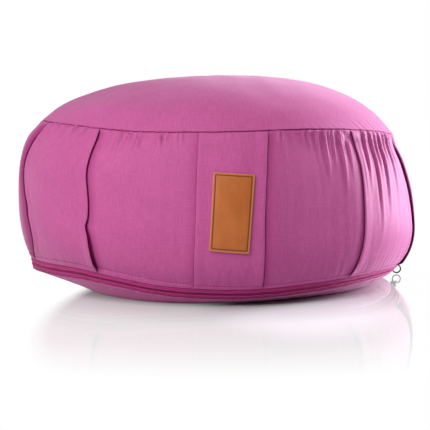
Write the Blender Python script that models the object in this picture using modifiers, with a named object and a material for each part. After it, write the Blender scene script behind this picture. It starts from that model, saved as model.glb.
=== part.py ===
"""A round zafu meditation cushion: a box-pleated cotton cover stuffed full, with a zip round
its base seam, a wire pull ring, and a blank leather patch on its front strip.

Metres, +Z up. The origin is on the floor under the middle of the cushion, and the patch
faces -Y. Azimuths are in degrees, from -Y towards +X. Positions on the cover's outline are
pairs of radius and height, and offsets across the cloth are outward.
"""

import math
from typing import NamedTuple

import bmesh
import bpy
from mathutils import Matrix, Vector

MM = 0.001

# Driving dimensions of the stuffed cover
CROWN_TOP = 0.1735
SEAM_SINK = 1.2 * MM
BASE_CURL = 1.15
SECTION_PUFF = 1.0 * MM
FOLD_FADE_TOP = 0.07
FOLD_FADE_HEM = 0.06

# The zip lies in a shallow channel between the side band's hem and the base disc
CHANNEL_HALF_WIDTH = 4.9 * MM
CHANNEL_DEPTH = 1.5 * MM
PLAIN_SEAM_HALF_WIDTH = 1.3 * MM
ZIP_START = -104.0
ZIP_END = 99.0
ZIP_STEP = 2.5
ZIP_MARGIN = 3.5
ZIP_FADE = 4.0
FIT_GAP = 0.4 * MM
TAPE_THICKNESS = 1.5 * MM
TAPE_WIDTH = 3.3 * MM
CHAIN_RADIUS = 0.65 * MM
SLIDER_AZIMUTH = 91.5

# The slider, its bridge and the pull ring
SLIDER_LENGTH = 9.0 * MM
SLIDER_WIDTH = 6.2 * MM
SLIDER_WAIST = 4.0 * MM
SLIDER_THICKNESS = 1.8 * MM
BRIDGE_OPENING = 2.0 * MM
BRIDGE_HALF_SPAN = 2.6 * MM
BRIDGE_WIRE = 0.6 * MM
BRIDGE_SUNK = 0.4 * MM
RING_RADIUS = 3.5 * MM
RING_WIRE = 0.5 * MM
RING_SWING = math.radians(26.0)

# The leather patch
PATCH_WIDTH = 0.0294
PATCH_TAPER = 0.04
PATCH_LENGTH = 0.0562
PATCH_THICKNESS = 1.5 * MM
PATCH_AZIMUTH = 3.6
PATCH_HEIGHT = 0.0706
PATCH_TILT = math.radians(4.2)


class BandRow(NamedTuple):
    """One level of the side band: share of its height, mean radius, and extra radius at +X."""

    name: str
    share: float
    radius: float
    lean: float


BAND = (
    BandRow("hem", 0.000, 0.1588, -0.0013),
    BandRow("turn-in", 0.130, 0.1651, -0.0002),
    BandRow("lower belly", 0.290, 0.1681, -0.0003),
    BandRow("belly", 0.530, 0.1666, -0.0025),
    BandRow("upper belly", 0.760, 0.1617, -0.0040),
    BandRow("shoulder", 0.890, 0.1560, -0.0040),
    BandRow("top seam", 1.000, 0.1493, 0.0006),
)


class CrownRow(NamedTuple):
    """One level of the top disc: share of the seam's radius, share of the rise, lift at +X."""

    name: str
    reach: float
    rise: float
    lean: float


CROWN = (
    CrownRow("pole", 0.000, 1.000, 0.0000),
    CrownRow("flat", 0.300, 0.943, 0.0008),
    CrownRow("slope", 0.567, 0.794, 0.0016),
    CrownRow("brow", 0.767, 0.573, 0.0018),
    CrownRow("edge", 0.900, 0.323, 0.0009),
    CrownRow("seam", 1.000, 0.000, 0.0000),
)


class Height(NamedTuple):
    """The height of a seam at an azimuth. The stuffing sits lower on the +X side."""

    azimuth: float
    value: float


class Reach(NamedTuple):
    """How far out the base lies flat on the floor at an azimuth."""

    azimuth: float
    value: float


class Slope(NamedTuple):
    """How far the zip faces down at an azimuth, in degrees."""

    azimuth: float
    value: float


TOP_SEAM = (
    Height(-80.0, 0.1350),
    Height(-44.0, 0.1320),
    Height(-25.0, 0.1287),
    Height(0.0, 0.1287),
    Height(30.0, 0.1302),
    Height(54.0, 0.1280),
    Height(80.0, 0.1236),
    Height(130.0, 0.1265),
    Height(180.0, 0.1300),
    Height(230.0, 0.1330),
)

ZIP_SEAM = (
    Height(-85.0, 0.0150),
    Height(-60.0, 0.0178),
    Height(-42.0, 0.0188),
    Height(-28.0, 0.0155),
    Height(-13.0, 0.0110),
    Height(8.0, 0.0093),
    Height(31.0, 0.0122),
    Height(55.0, 0.0137),
    Height(85.0, 0.0106),
    Height(130.0, 0.0105),
    Height(180.0, 0.0112),
    Height(225.0, 0.0130),
)


CONTACT = (
    Reach(-75.0, 0.1190),
    Reach(-56.0, 0.1255),
    Reach(-43.0, 0.1345),
    Reach(-29.0, 0.1405),
    Reach(-12.0, 0.1430),
    Reach(5.0, 0.1370),
    Reach(25.0, 0.1320),
    Reach(50.0, 0.1350),
    Reach(75.0, 0.1370),
    Reach(130.0, 0.1350),
    Reach(180.0, 0.1370),
    Reach(225.0, 0.1340),
)

ZIP_SLOPE = (
    Slope(-85.0, 8.0),
    Slope(-45.0, 22.0),
    Slope(0.0, 33.0),
    Slope(50.0, 36.0),
    Slope(90.0, 45.0),
    Slope(180.0, 35.0),
    Slope(225.0, 22.0),
)


class Fold(NamedTuple):
    """The folded edge of a box pleat. Its tuck opens towards +azimuth when side is 1.

    The cloth beyond the tuck lies level mm further out than at an ordinary fold, and the
    cloth from this fold to the next bulges by puff.
    """

    name: str
    top: float
    upper: float
    middle: float
    lower: float
    hem: float
    side: int
    columns_after: int
    level: float = 0.0
    puff: float = SECTION_PUFF


FOLDS = (
    Fold("left panel, rear edge", -64.2, -65.6, -64.7, -61.0, -66.7, -1, 7, 2.6),
    Fold("left panel, front edge", -36.4, -35.8, -34.9, -34.8, -34.3, 1, 7, 0.2, 0.5 * MM),
    Fold("front strip, left edge", -5.1, -5.2, -5.3, -5.8, -6.1, -1, 2),
    Fold("front strip, right edge", 14.4, 12.8, 12.0, 11.8, 12.0, 1, 16, 0.0, -1.6 * MM),
    Fold("right panel, front edge", 42.8, 43.3, 42.5, 41.5, 39.2, -1, 17, 0.2),
    Fold("right panel, rear edge", 66.6, 71.3, 72.7, 73.0, 67.6, 1, 5, 3.4, 0.4 * MM),
    Fold("rear right panel, near edge", 108.5, 109.0, 108.5, 107.6, 107.0, -1, 6),
    Fold("rear right panel, far edge", 144.0, 144.8, 145.0, 144.6, 144.2, 1, 4),
    Fold("rear strip, right edge", 174.5, 175.0, 175.2, 175.1, 174.6, -1, 2),
    Fold("rear strip, left edge", 193.5, 193.0, 192.6, 192.7, 193.2, 1, 4),
    Fold("rear left panel, far edge", 222.0, 222.6, 223.0, 223.2, 223.4, -1, 6),
    Fold("rear left panel, near edge", 258.0, 258.8, 259.0, 258.6, 258.0, 1, 4, 0.0, 0.2 * MM),
)


class TuckPoint(NamedTuple):
    """A point across a folded edge in mm: where it is pressed flat, and where it opens to.

    Takes is the share of its fold's level that it takes.
    """

    name: str
    pressed: float
    along: float
    out: float
    takes: float = 0.0


TUCK = (
    TuckPoint("panel", -9.0, -9.0, 0.8),
    TuckPoint("brow", -3.6, -3.6, 1.7),
    TuckPoint("edge top", -1.8, -0.8, 1.9),
    TuckPoint("edge nose", -0.9, 0.0, 1.3),
    TuckPoint("edge under", -0.1, -0.7, 0.7),
    TuckPoint("tuck end", 0.7, -4.2, -0.3),
    TuckPoint("tuck floor", 1.5, -3.6, -1.1),
    TuckPoint("valley", 2.6, 0.9, -1.6, 0.3),
    TuckPoint("section", 8.0, 8.0, -0.8, 0.8),
)


class Ridge(NamedTuple):
    """A gather that runs down from the top seam, from one azimuth to another."""

    top: float
    foot: float
    foot_share: float
    height: float


RIDGES = (
    Ridge(48.6, 46.2, 0.20, 1.4 * MM),
    Ridge(51.8, 48.8, 0.08, 1.6 * MM),
    Ridge(55.0, 52.2, 0.38, 1.4 * MM),
    Ridge(57.8, 54.2, 0.10, 1.6 * MM),
    Ridge(60.9, 58.0, 0.45, 1.3 * MM),
    Ridge(63.8, 60.4, 0.22, 1.5 * MM),
    Ridge(40.2, 39.4, 0.58, 1.1 * MM),
    Ridge(36.4, 35.4, 0.55, 1.2 * MM),
    Ridge(32.4, 32.0, 0.62, 1.0 * MM),
    Ridge(28.4, 28.0, 0.75, 0.8 * MM),
)
RIDGE_HALF_WIDTH = 3.2 * MM


class Course(NamedTuple):
    """A course of points round the cushion. They run from the crown down to the base."""

    zone: str
    share: float


COURSES = (
    Course("crown", 0.28),
    Course("crown", 0.50),
    Course("crown", 0.67),
    Course("crown", 0.80),
    Course("crown", 0.89),
    Course("crown", 0.95),
    Course("crown", 0.985),
    Course("seam", 1.0),
    Course("band", 0.975),
    Course("band", 0.93),
    Course("band", 0.85),
    Course("band", 0.75),
    Course("band", 0.64),
    Course("band", 0.53),
    Course("band", 0.42),
    Course("band", 0.31),
    Course("band", 0.20),
    Course("band", 0.11),
    Course("band", 0.04),
    Course("channel", -1.0),
    Course("channel floor", -0.96),
    Course("channel floor", 0.96),
    Course("channel", 1.0),
    Course("base", 0.45),
    Course("base", 0.0),
    Course("base", -0.5),
)


def clear_scene():
    """Remove whatever the scene holds."""
    for old in list(bpy.data.objects):
        bpy.data.objects.remove(old, do_unlink=True)


def smooth_step(low, high, value):
    """0 below low, 1 above high, and a smooth rise between them."""
    share = min(1.0, max(0.0, (value - low) / (high - low)))
    return share * share * (3.0 - 2.0 * share)


def blend(first, second, share):
    """The value between two others."""
    return first + (second - first) * share


def smooth_curve(points, at):
    """A smooth curve through (place, value) pairs, read at a place. Places rise."""
    last = len(points) - 2
    index = next((i for i in range(last) if at < points[i + 1][0]), last)
    (x0, y0), (x1, y1) = points[index], points[index + 1]
    xb, yb = points[max(0, index - 1)]
    xa, ya = points[min(len(points) - 1, index + 2)]
    span = x1 - x0
    slope0 = (y1 - yb) / (x1 - xb)
    slope1 = (ya - y0) / (xa - x0)
    t = (at - x0) / span
    start = (1.0 + 2.0 * t) * (1.0 - t) ** 2 * y0 + t * (1.0 - t) ** 2 * span * slope0
    end = t * t * (3.0 - 2.0 * t) * y1 + t * t * (t - 1.0) * span * slope1
    return start + end


def round_curve(table, azimuth):
    """A table's value at an azimuth, on a smooth closed curve through its rows."""
    pairs = [(row.azimuth, row.value) for row in table]
    turned = [(x - 360.0, y) for x, y in pairs[-2:]]
    after = [(x + 360.0, y) for x, y in pairs[:2]]
    at = (azimuth - pairs[0][0]) % 360.0 + pairs[0][0]
    return smooth_curve(turned + pairs + after, at)


def band_radius(azimuth, share):
    """The cover's radius at a share of the band's height."""
    lean = math.sin(math.radians(azimuth))
    return smooth_curve([(row.share, row.radius + row.lean * lean) for row in BAND], share)


def zip_share(azimuth):
    """1 along the zip, fading to 0 where the base seam is plain."""
    middle = (ZIP_START + ZIP_END) / 2.0
    away = abs((azimuth - middle + 180.0) % 360.0 - 180.0)
    half = (ZIP_END - ZIP_START) / 2.0 + ZIP_MARGIN
    return 1.0 - smooth_step(half, half + ZIP_FADE, away)


def channel_point(azimuth, across, out):
    """(radius, height) on the zip's channel: across runs down it, out leaves the cloth."""
    slope = math.radians(round_curve(ZIP_SLOPE, azimuth))
    centre_r = band_radius(azimuth, 0.0) - CHANNEL_HALF_WIDTH * math.sin(slope)
    centre_z = round_curve(ZIP_SEAM, azimuth)
    r = centre_r - across * math.sin(slope) + out * math.cos(slope)
    z = centre_z - across * math.cos(slope) - out * math.sin(slope)
    return r, z


def band_profile(azimuth, share):
    """(radius, height) of the side band without its folds."""
    hem = channel_point(azimuth, -CHANNEL_HALF_WIDTH, 0.0)[1]
    height = blend(hem, round_curve(TOP_SEAM, azimuth), share)
    return band_radius(azimuth, share), height


def band_normal(azimuth, share):
    """Outward unit normal of the band's outline, as (radius, height)."""
    step = 0.01
    r0, z0 = band_profile(azimuth, max(0.0, share - step))
    r1, z1 = band_profile(azimuth, min(1.0, share + step))
    length = math.hypot(r1 - r0, z1 - z0)
    return (z1 - z0) / length, -(r1 - r0) / length


def place(azimuth, radius, height):
    """The point in space at an azimuth, radius and height."""
    turn = math.radians(azimuth)
    return Vector((radius * math.sin(turn), -radius * math.cos(turn), height))


def fold_azimuth(fold, share):
    """Where a folded edge is at a share of the band's height."""
    edge = (fold.hem, fold.lower, fold.middle, fold.upper, fold.top)
    return smooth_curve([(step / 4.0, azimuth) for step, azimuth in enumerate(edge)], share)


def fold_opening(share):
    """How far a tuck is open at a share of the band's height: both seams press it shut."""
    return smooth_step(0.0, FOLD_FADE_TOP, 1.0 - share) * smooth_step(0.0, FOLD_FADE_HEM, share)


class Column(NamedTuple):
    """A line of points from crown to base. Between folds, gap says how far it has got."""

    fold: Fold
    after: Fold
    point: TuckPoint
    gap: float


def columns():
    """Every column round the cushion: those across each folded edge, then the plain ones."""
    made = []
    for number, fold in enumerate(FOLDS):
        after = FOLDS[(number + 1) % len(FOLDS)]
        across = TUCK if fold.side > 0 else tuple(reversed(TUCK))
        made += [Column(fold, after, point, 0.0) for point in across]
        for step in range(fold.columns_after):
            made.append(Column(fold, after, None, (step + 1) / (fold.columns_after + 1)))
    return made


def point_out(fold, point, share):
    """How far out a point of a folded edge lies in mm. The top seam holds the level down."""
    held = 1.0 - 0.8 * smooth_step(0.70, 1.0, share)
    return point.out + point.takes * fold.level * held


def column_place(column, share, radius):
    """(azimuth in degrees, outward offset) of a column on the band."""
    opening = fold_opening(share)
    edge = fold_azimuth(column.fold, share)
    if column.point is not None:
        point = column.point
        along = blend(point.pressed, point.along, opening) * column.fold.side * MM
        return edge + math.degrees(along / radius), point_out(column.fold, point, share) * MM * opening
    start_point = TUCK[-1] if column.fold.side > 0 else TUCK[0]
    end_point = TUCK[0] if column.after.side > 0 else TUCK[-1]
    start = edge + math.degrees(abs(start_point.along) * MM / radius)
    end = (fold_azimuth(column.after, share) - edge) % 360.0 + edge
    end -= math.degrees(abs(end_point.along) * MM / radius)
    start_out = point_out(column.fold, start_point, share)
    end_out = point_out(column.after, end_point, share)
    level = blend(start_out, end_out, column.gap) * MM * opening
    puff = column.fold.puff * math.sin(math.pi * column.gap) * math.sin(math.pi * share)
    return blend(start, end, column.gap), level + puff


def ridge_offset(azimuth, share, radius):
    """How far the gathers lift the cloth at a place on the band."""
    total = 0.0
    for ridge in RIDGES:
        run = (1.0 - share) / (1.0 - ridge.foot_share)
        if run > 1.0:
            continue
        middle = blend(ridge.top, ridge.foot, run)
        away = math.radians((azimuth - middle + 180.0) % 360.0 - 180.0) * radius
        fade = smooth_step(0.0, 0.08, 1.0 - share) * (1.0 - smooth_step(0.35, 1.0, run))
        total += ridge.height * fade * math.exp(-((away / RIDGE_HALF_WIDTH) ** 2) * 2.0)
    return total


def band_point(column, share):
    """A column's point on the side band, with its fold and gathers."""
    middle = fold_azimuth(column.fold, share)
    azimuth, out = column_place(column, share, band_radius(middle, share))
    radius, height = band_profile(azimuth, share)
    normal_r, normal_z = band_normal(azimuth, share)
    out += ridge_offset(azimuth, share, radius)
    return place(azimuth, radius + out * normal_r, height + out * normal_z)


def crown_point(azimuth, reach):
    """A point on the top disc, at a share of the seam's radius."""
    seam = round_curve(TOP_SEAM, azimuth)
    lean = math.sin(math.radians(azimuth))
    rise = smooth_curve([(row.reach, row.rise) for row in CROWN], reach)
    lift = smooth_curve([(row.reach, row.lean) for row in CROWN], reach) * lean
    return place(azimuth, band_radius(azimuth, 1.0) * reach, blend(seam, CROWN_TOP, rise) + lift)


def base_point(azimuth, share):
    """A point on the base disc: share 1 is the channel's lower edge, and 0 meets the floor."""
    edge_r, edge_z = channel_point(azimuth, CHANNEL_HALF_WIDTH, 0.0)
    contact = round_curve(CONTACT, azimuth)
    if share <= 0.0:
        return place(azimuth, contact * (1.0 + share), 0.0)
    return place(azimuth, blend(contact, edge_r, share), edge_z * share**BASE_CURL)


def cushion_point(course, column, even_azimuth):
    """The place of one point of the cushion. Even spacing takes over near the poles."""
    top_azimuth = column_place(column, 1.0, band_radius(column.fold.top, 1.0))[0]
    hem_azimuth = column_place(column, 0.0, band_radius(column.fold.hem, 0.0))[0]
    if course.zone == "crown":
        drift = (even_azimuth - top_azimuth + 180.0) % 360.0 - 180.0
        azimuth = top_azimuth + drift * (1.0 - smooth_step(0.55, 0.95, course.share))
        return crown_point(azimuth, course.share)
    if course.zone == "seam":
        radius = band_radius(top_azimuth, 1.0) - SEAM_SINK
        return place(top_azimuth, radius, round_curve(TOP_SEAM, top_azimuth))
    if course.zone == "band":
        return band_point(column, course.share)
    if course.zone == "base":
        drift = (even_azimuth - hem_azimuth + 180.0) % 360.0 - 180.0
        azimuth = hem_azimuth + drift * (1.0 - smooth_step(-0.5, 0.4, course.share))
        return base_point(azimuth, course.share)
    half = blend(PLAIN_SEAM_HALF_WIDTH, CHANNEL_HALF_WIDTH, zip_share(hem_azimuth))
    sunk = -CHANNEL_DEPTH if course.zone == "channel floor" else 0.0
    return place(hem_azimuth, *channel_point(hem_azimuth, course.share * half, sunk))


def material(name, colour, roughness, metallic=0.0):
    """A plain Principled material."""
    made = bpy.data.materials.new(name)
    made.use_nodes = True
    shader = made.node_tree.nodes["Principled BSDF"]
    shader.inputs["Base Color"].default_value = (*colour, 1.0)
    shader.inputs["Roughness"].default_value = roughness
    shader.inputs["Metallic"].default_value = metallic
    return made


def finish(thing, name, collection, look):
    """Name an object, give it its material and put it in the cushion's collection."""
    thing.name = name
    thing.data.name = name
    thing.data.materials.clear()
    thing.data.materials.append(look)
    for old in list(thing.users_collection):
        old.objects.unlink(thing)
    collection.objects.link(thing)
    return thing


def make_cushion(collection, look):
    """The stuffed cover as one solid: a sphere's courses and columns laid on its outline."""
    lines = columns()
    steps = len(COURSES) + 1
    bpy.ops.mesh.primitive_uv_sphere_add(segments=len(lines), ring_count=steps, radius=1.0)
    cushion = bpy.context.object
    first = column_place(lines[0], 1.0, band_radius(lines[0].fold.top, 1.0))[0]
    for vertex in cushion.data.vertices:
        x, y, z = vertex.co
        step = round(math.acos(max(-1.0, min(1.0, z))) / math.pi * steps)
        turn = round(math.atan2(x, -y) / math.tau * len(lines)) % len(lines)
        if step == 0:
            vertex.co = (0.0, 0.0, CROWN_TOP)
        elif step == steps:
            vertex.co = (0.0, 0.0, 0.0)
        else:
            even = first + 360.0 * turn / len(lines)
            vertex.co = cushion_point(COURSES[step - 1], lines[turn], even)
    cushion.data.shade_smooth()
    return finish(cushion, "cushion", collection, look)


def zip_azimuths(start, end):
    """Evenly spaced azimuths along the zip, about ZIP_STEP apart."""
    steps = round((end - start) / ZIP_STEP)
    return [blend(start, end, step / steps) for step in range(steps + 1)]


def make_tape(name, side, collection, look):
    """One of the zip's two woven tapes: a strip that follows the channel, made solid."""
    stations = zip_azimuths(ZIP_START, ZIP_END)
    bpy.ops.mesh.primitive_grid_add(x_subdivisions=len(stations) - 1, y_subdivisions=1, size=2.0)
    tape = bpy.context.object
    inner = CHAIN_RADIUS + FIT_GAP
    level = FIT_GAP - CHANNEL_DEPTH
    for vertex in tape.data.vertices:
        station = round((vertex.co.x + 1.0) / 2.0 * (len(stations) - 1))
        across = side * (inner if vertex.co.y * side < 0.0 else inner + TAPE_WIDTH)
        azimuth = stations[station]
        vertex.co = place(azimuth, *channel_point(azimuth, across, level))
    solidify = tape.modifiers.new("Tape thickness", "SOLIDIFY")
    solidify.thickness = TAPE_THICKNESS
    solidify.offset = -1.0
    return finish(tape, name, collection, look)


def make_chain(collection, look):
    """The closed zip chain between the tapes, as a slim cord."""
    stations = zip_azimuths(ZIP_START + 1.0, ZIP_END - 1.5)
    curve = bpy.data.curves.new("zip_chain", "CURVE")
    curve.dimensions = "3D"
    curve.bevel_depth = CHAIN_RADIUS
    curve.bevel_resolution = 1
    curve.use_fill_caps = True
    line = curve.splines.new("POLY")
    line.points.add(len(stations) - 1)
    level = FIT_GAP - CHANNEL_DEPTH + CHAIN_RADIUS
    for point, azimuth in zip(line.points, stations):
        point.co = (*place(azimuth, *channel_point(azimuth, 0.0, level)), 1.0)
    chain = bpy.data.objects.new("zip_chain", curve)
    bpy.context.scene.collection.objects.link(chain)
    return finish(chain, "zip_chain", collection, look)


def zip_frame(azimuth, out):
    """A matrix on the zip: X back along it, Y down across it and Z away from the cloth."""
    slope = math.radians(round_curve(ZIP_SLOPE, azimuth))
    along = place(azimuth - 90.0, 1.0, 0.0)
    down = place(azimuth, -math.sin(slope), -math.cos(slope))
    away = along.cross(down)
    origin = place(azimuth, *channel_point(azimuth, 0.0, out))
    frame = Matrix((along, down, away)).transposed().to_4x4()
    frame.translation = origin
    return frame


def slider_outline():
    """The slider's outline from above: wide at its mouth, drawn in at its tail."""
    corners = (
        (-0.50, 0.30),
        (-0.40, 0.44),
        (-0.05, 0.50),
        (0.20, 0.44),
        (0.40, 0.34),
        (0.50, 0.22),
    )
    waist = SLIDER_WAIST / SLIDER_WIDTH
    upper = [(x * SLIDER_LENGTH, y * SLIDER_WIDTH * (waist if x > 0.3 else 1.0)) for x, y in corners]
    return upper + [(x, -y) for x, y in reversed(upper)]


def make_slider(collection, look):
    """The slider's body with its bridge, joined as one solid."""
    curve = bpy.data.curves.new("slider_body", "CURVE")
    curve.dimensions = "2D"
    curve.fill_mode = "BOTH"
    curve.extrude = SLIDER_THICKNESS / 2.0
    outline = curve.splines.new("POLY")
    corners = slider_outline()
    outline.points.add(len(corners) - 1)
    outline.use_cyclic_u = True
    for point, (x, y) in zip(outline.points, corners):
        point.co = (x, y, 0.0, 1.0)
    body = as_mesh(bpy.data.objects.new("slider_body", curve))

    arch = bpy.data.curves.new("slider_bridge", "CURVE")
    arch.dimensions = "3D"
    arch.bevel_depth = BRIDGE_WIRE
    arch.bevel_resolution = 2
    arch.use_fill_caps = True
    line = arch.splines.new("POLY")
    turns = 10
    line.points.add(turns)
    foot = SLIDER_THICKNESS / 2.0 - BRIDGE_SUNK
    rise = BRIDGE_SUNK + BRIDGE_OPENING + BRIDGE_WIRE
    for step, point in enumerate(line.points):
        turn = math.pi * step / turns
        height = foot + rise * max(0.0, math.sin(turn)) ** 0.6
        point.co = (-math.cos(turn) * BRIDGE_HALF_SPAN, 0.0, height, 1.0)
    bridge = as_mesh(bpy.data.objects.new("slider_bridge", arch))

    join = body.modifiers.new("Bridge", "BOOLEAN")
    join.operation = "UNION"
    join.object = bridge
    bridge.hide_render = True
    bridge.display_type = "WIRE"
    rest = tape_top() + FIT_GAP + SLIDER_THICKNESS / 2.0
    for thing in (body, bridge):
        thing.matrix_world = zip_frame(SLIDER_AZIMUTH, rest)
    cutters = bpy.data.collections.new("joined pieces")
    bpy.context.scene.collection.children.link(cutters)
    cutters.objects.link(bridge)
    bpy.context.scene.collection.objects.unlink(bridge)
    return finish(body, "zip_slider", collection, look)


def as_mesh(source):
    """A curve object turned into a welded mesh object, in the scene."""
    bpy.context.scene.collection.objects.link(source)
    bpy.context.view_layer.update()
    graph = bpy.context.evaluated_depsgraph_get()
    mesh = bpy.data.meshes.new_from_object(source.evaluated_get(graph))
    work = bmesh.new()
    work.from_mesh(mesh)
    bmesh.ops.remove_doubles(work, verts=work.verts, dist=0.01 * MM)
    bmesh.ops.recalc_face_normals(work, faces=work.faces)
    work.to_mesh(mesh)
    work.free()
    made = bpy.data.objects.new(source.name, mesh)
    made.matrix_world = source.matrix_world
    bpy.context.scene.collection.objects.link(made)
    bpy.data.objects.remove(source, do_unlink=True)
    return made


def tape_top():
    """How far the tapes' outer face stands from the channel's lips."""
    return FIT_GAP - CHANNEL_DEPTH + TAPE_THICKNESS


def make_ring(collection, look):
    """The wire ring through the bridge, hanging with its face across the zip."""
    bpy.ops.mesh.primitive_torus_add(
        major_segments=28, minor_segments=8, major_radius=RING_RADIUS, minor_radius=RING_WIRE
    )
    ring = bpy.context.object
    frame = zip_frame(SLIDER_AZIMUTH, tape_top() + FIT_GAP + SLIDER_THICKNESS)
    out = BRIDGE_OPENING / 2.0 + RING_RADIUS * math.cos(RING_SWING)
    down = RING_RADIUS * math.sin(RING_SWING)
    hang = Matrix.Translation((0.0, down, out)) @ Matrix.Rotation(math.pi / 2.0, 4, "Y")
    ring.matrix_world = frame @ hang
    ring.data.shade_smooth()
    return finish(ring, "pull_ring", collection, look)


def patch_point(right, up, out):
    """A point of the patch: right and up run over its face, from its middle."""
    turned_right = right * math.cos(PATCH_TILT) + up * math.sin(PATCH_TILT)
    turned_up = up * math.cos(PATCH_TILT) - right * math.sin(PATCH_TILT)
    top = round_curve(TOP_SEAM, PATCH_AZIMUTH)
    hem = channel_point(PATCH_AZIMUTH, -CHANNEL_HALF_WIDTH, 0.0)[1]
    share = (PATCH_HEIGHT + turned_up - hem) / (top - hem)
    radius = band_radius(PATCH_AZIMUTH, share)
    azimuth = PATCH_AZIMUTH + math.degrees(turned_right / radius)
    radius, height = band_profile(azimuth, share)
    normal_r, normal_z = band_normal(azimuth, share)
    return place(azimuth, radius + out * normal_r, height + out * normal_z)


def make_patch(collection, look):
    """The leather patch: a thin slab that lies on the bulging front strip."""
    bpy.ops.mesh.primitive_grid_add(x_subdivisions=6, y_subdivisions=12, size=1.0)
    patch = bpy.context.object
    strip_lift = blend(TUCK[0].out, TUCK[1].out, 0.5) * MM + SECTION_PUFF
    for vertex in patch.data.vertices:
        x, y, _ = vertex.co
        right = x * PATCH_WIDTH * (1.0 + y * PATCH_TAPER)
        vertex.co = patch_point(right, y * PATCH_LENGTH, strip_lift + FIT_GAP)
    solidify = patch.modifiers.new("Leather thickness", "SOLIDIFY")
    solidify.thickness = PATCH_THICKNESS
    solidify.offset = 1.0
    return finish(patch, "leather_patch", collection, look)


def main():
    """Build the cushion and everything sewn or fitted to it."""
    clear_scene()
    collection = bpy.data.collections.new("zafu meditation cushion")
    bpy.context.scene.collection.children.link(collection)
    cotton = material("magenta cotton", (0.42, 0.075, 0.22), 0.85)
    tape_cloth = material("crimson zip tape", (0.30, 0.012, 0.09), 0.75)
    chain_nylon = material("dark crimson nylon", (0.11, 0.006, 0.035), 0.45)
    metal = material("grey metal", (0.45, 0.45, 0.46), 0.3, 1.0)
    leather = material("tan leather", (0.42, 0.13, 0.035), 0.5)
    make_cushion(collection, cotton)
    make_tape("zip_tape_upper", -1.0, collection, tape_cloth)
    make_tape("zip_tape_lower", 1.0, collection, tape_cloth)
    make_chain(collection, chain_nylon)
    make_slider(collection, metal)
    make_ring(collection, metal)
    make_patch(collection, leather)


main()
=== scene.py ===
"""Dress a packed zafu meditation cushion: the pleated cotton cover with its gathers and seams,
the zip with its slider and pull ring, the stitched leather patch, and a plain pale studio.

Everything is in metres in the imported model's frame: +Z up, the patch towards -Y. Azimuths are
in degrees from -Y towards +X. A share on the side band is 0 at its hem and 1 at the top seam.
"""

from __future__ import annotations

import logging
import math
from dataclasses import dataclass, replace
from enum import Enum

import bmesh
import bpy
import numpy as np
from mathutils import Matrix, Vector

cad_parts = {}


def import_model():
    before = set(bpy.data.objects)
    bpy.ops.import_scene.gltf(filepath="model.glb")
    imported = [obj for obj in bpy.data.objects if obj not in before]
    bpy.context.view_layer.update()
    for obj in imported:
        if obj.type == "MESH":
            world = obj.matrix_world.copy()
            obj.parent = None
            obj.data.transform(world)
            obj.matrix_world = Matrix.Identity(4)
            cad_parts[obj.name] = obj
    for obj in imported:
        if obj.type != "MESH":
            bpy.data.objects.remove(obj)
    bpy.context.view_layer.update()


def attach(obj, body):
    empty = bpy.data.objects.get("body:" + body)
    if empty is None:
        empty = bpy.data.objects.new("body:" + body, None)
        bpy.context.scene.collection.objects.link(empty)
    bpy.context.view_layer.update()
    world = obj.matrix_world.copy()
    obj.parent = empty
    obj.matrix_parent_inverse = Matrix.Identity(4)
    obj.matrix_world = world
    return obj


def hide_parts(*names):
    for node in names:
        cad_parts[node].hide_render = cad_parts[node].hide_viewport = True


LOG = logging.getLogger("zafu")

MM = 0.001
BODY = "root"
IMAGE_SIZE = 430
FULL_TURN = 360.0

Array = np.ndarray
Material = bpy.types.Material
Node = bpy.types.Node
Piece = bpy.types.Object
Socket = bpy.types.NodeSocket
Pair = tuple[float, float]
Triple = tuple[float, float, float]
Rows = tuple[Pair, ...]


class Slot(Enum):
    """The record's material slots."""

    COVER = "cushion_cover"
    TAPE = "zip_tape"
    CHAIN = "zip_chain"
    METAL = "zip_metal"
    PATCH = "leather_patch"


class Opens(Enum):
    """Which way a pleat's tuck opens: towards lower or higher azimuths."""

    LEFT = -1
    RIGHT = 1


def smooth_step(low: float, high: float, value: Array) -> Array:
    """A smooth rise from 0 to 1.

    Args:
        low: Where the rise starts.
        high: Where it ends.
        value: The places to read.

    Returns:
        The rise at each place.
    """
    share = np.clip((np.asarray(value, float) - low) / (high - low), 0.0, 1.0)
    return share * share * (3.0 - 2.0 * share)


def wrap(azimuth: Array) -> Array:
    """Bring azimuth differences into -180 to 180 degrees."""
    return (azimuth + FULL_TURN / 2.0) % FULL_TURN - FULL_TURN / 2.0


def place(azimuth: Array, radius: Array, height: Array) -> Array:
    """Points in space.

    Args:
        azimuth: Where each is round the cushion, in degrees.
        radius: How far out each is.
        height: How high each is.

    Returns:
        The points, as an array with a last axis of 3.
    """
    turn = np.radians(azimuth)
    radius, height = np.broadcast_arrays(radius, height)
    return np.stack([radius * np.sin(turn), -radius * np.cos(turn), height + 0.0 * turn], -1)


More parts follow.
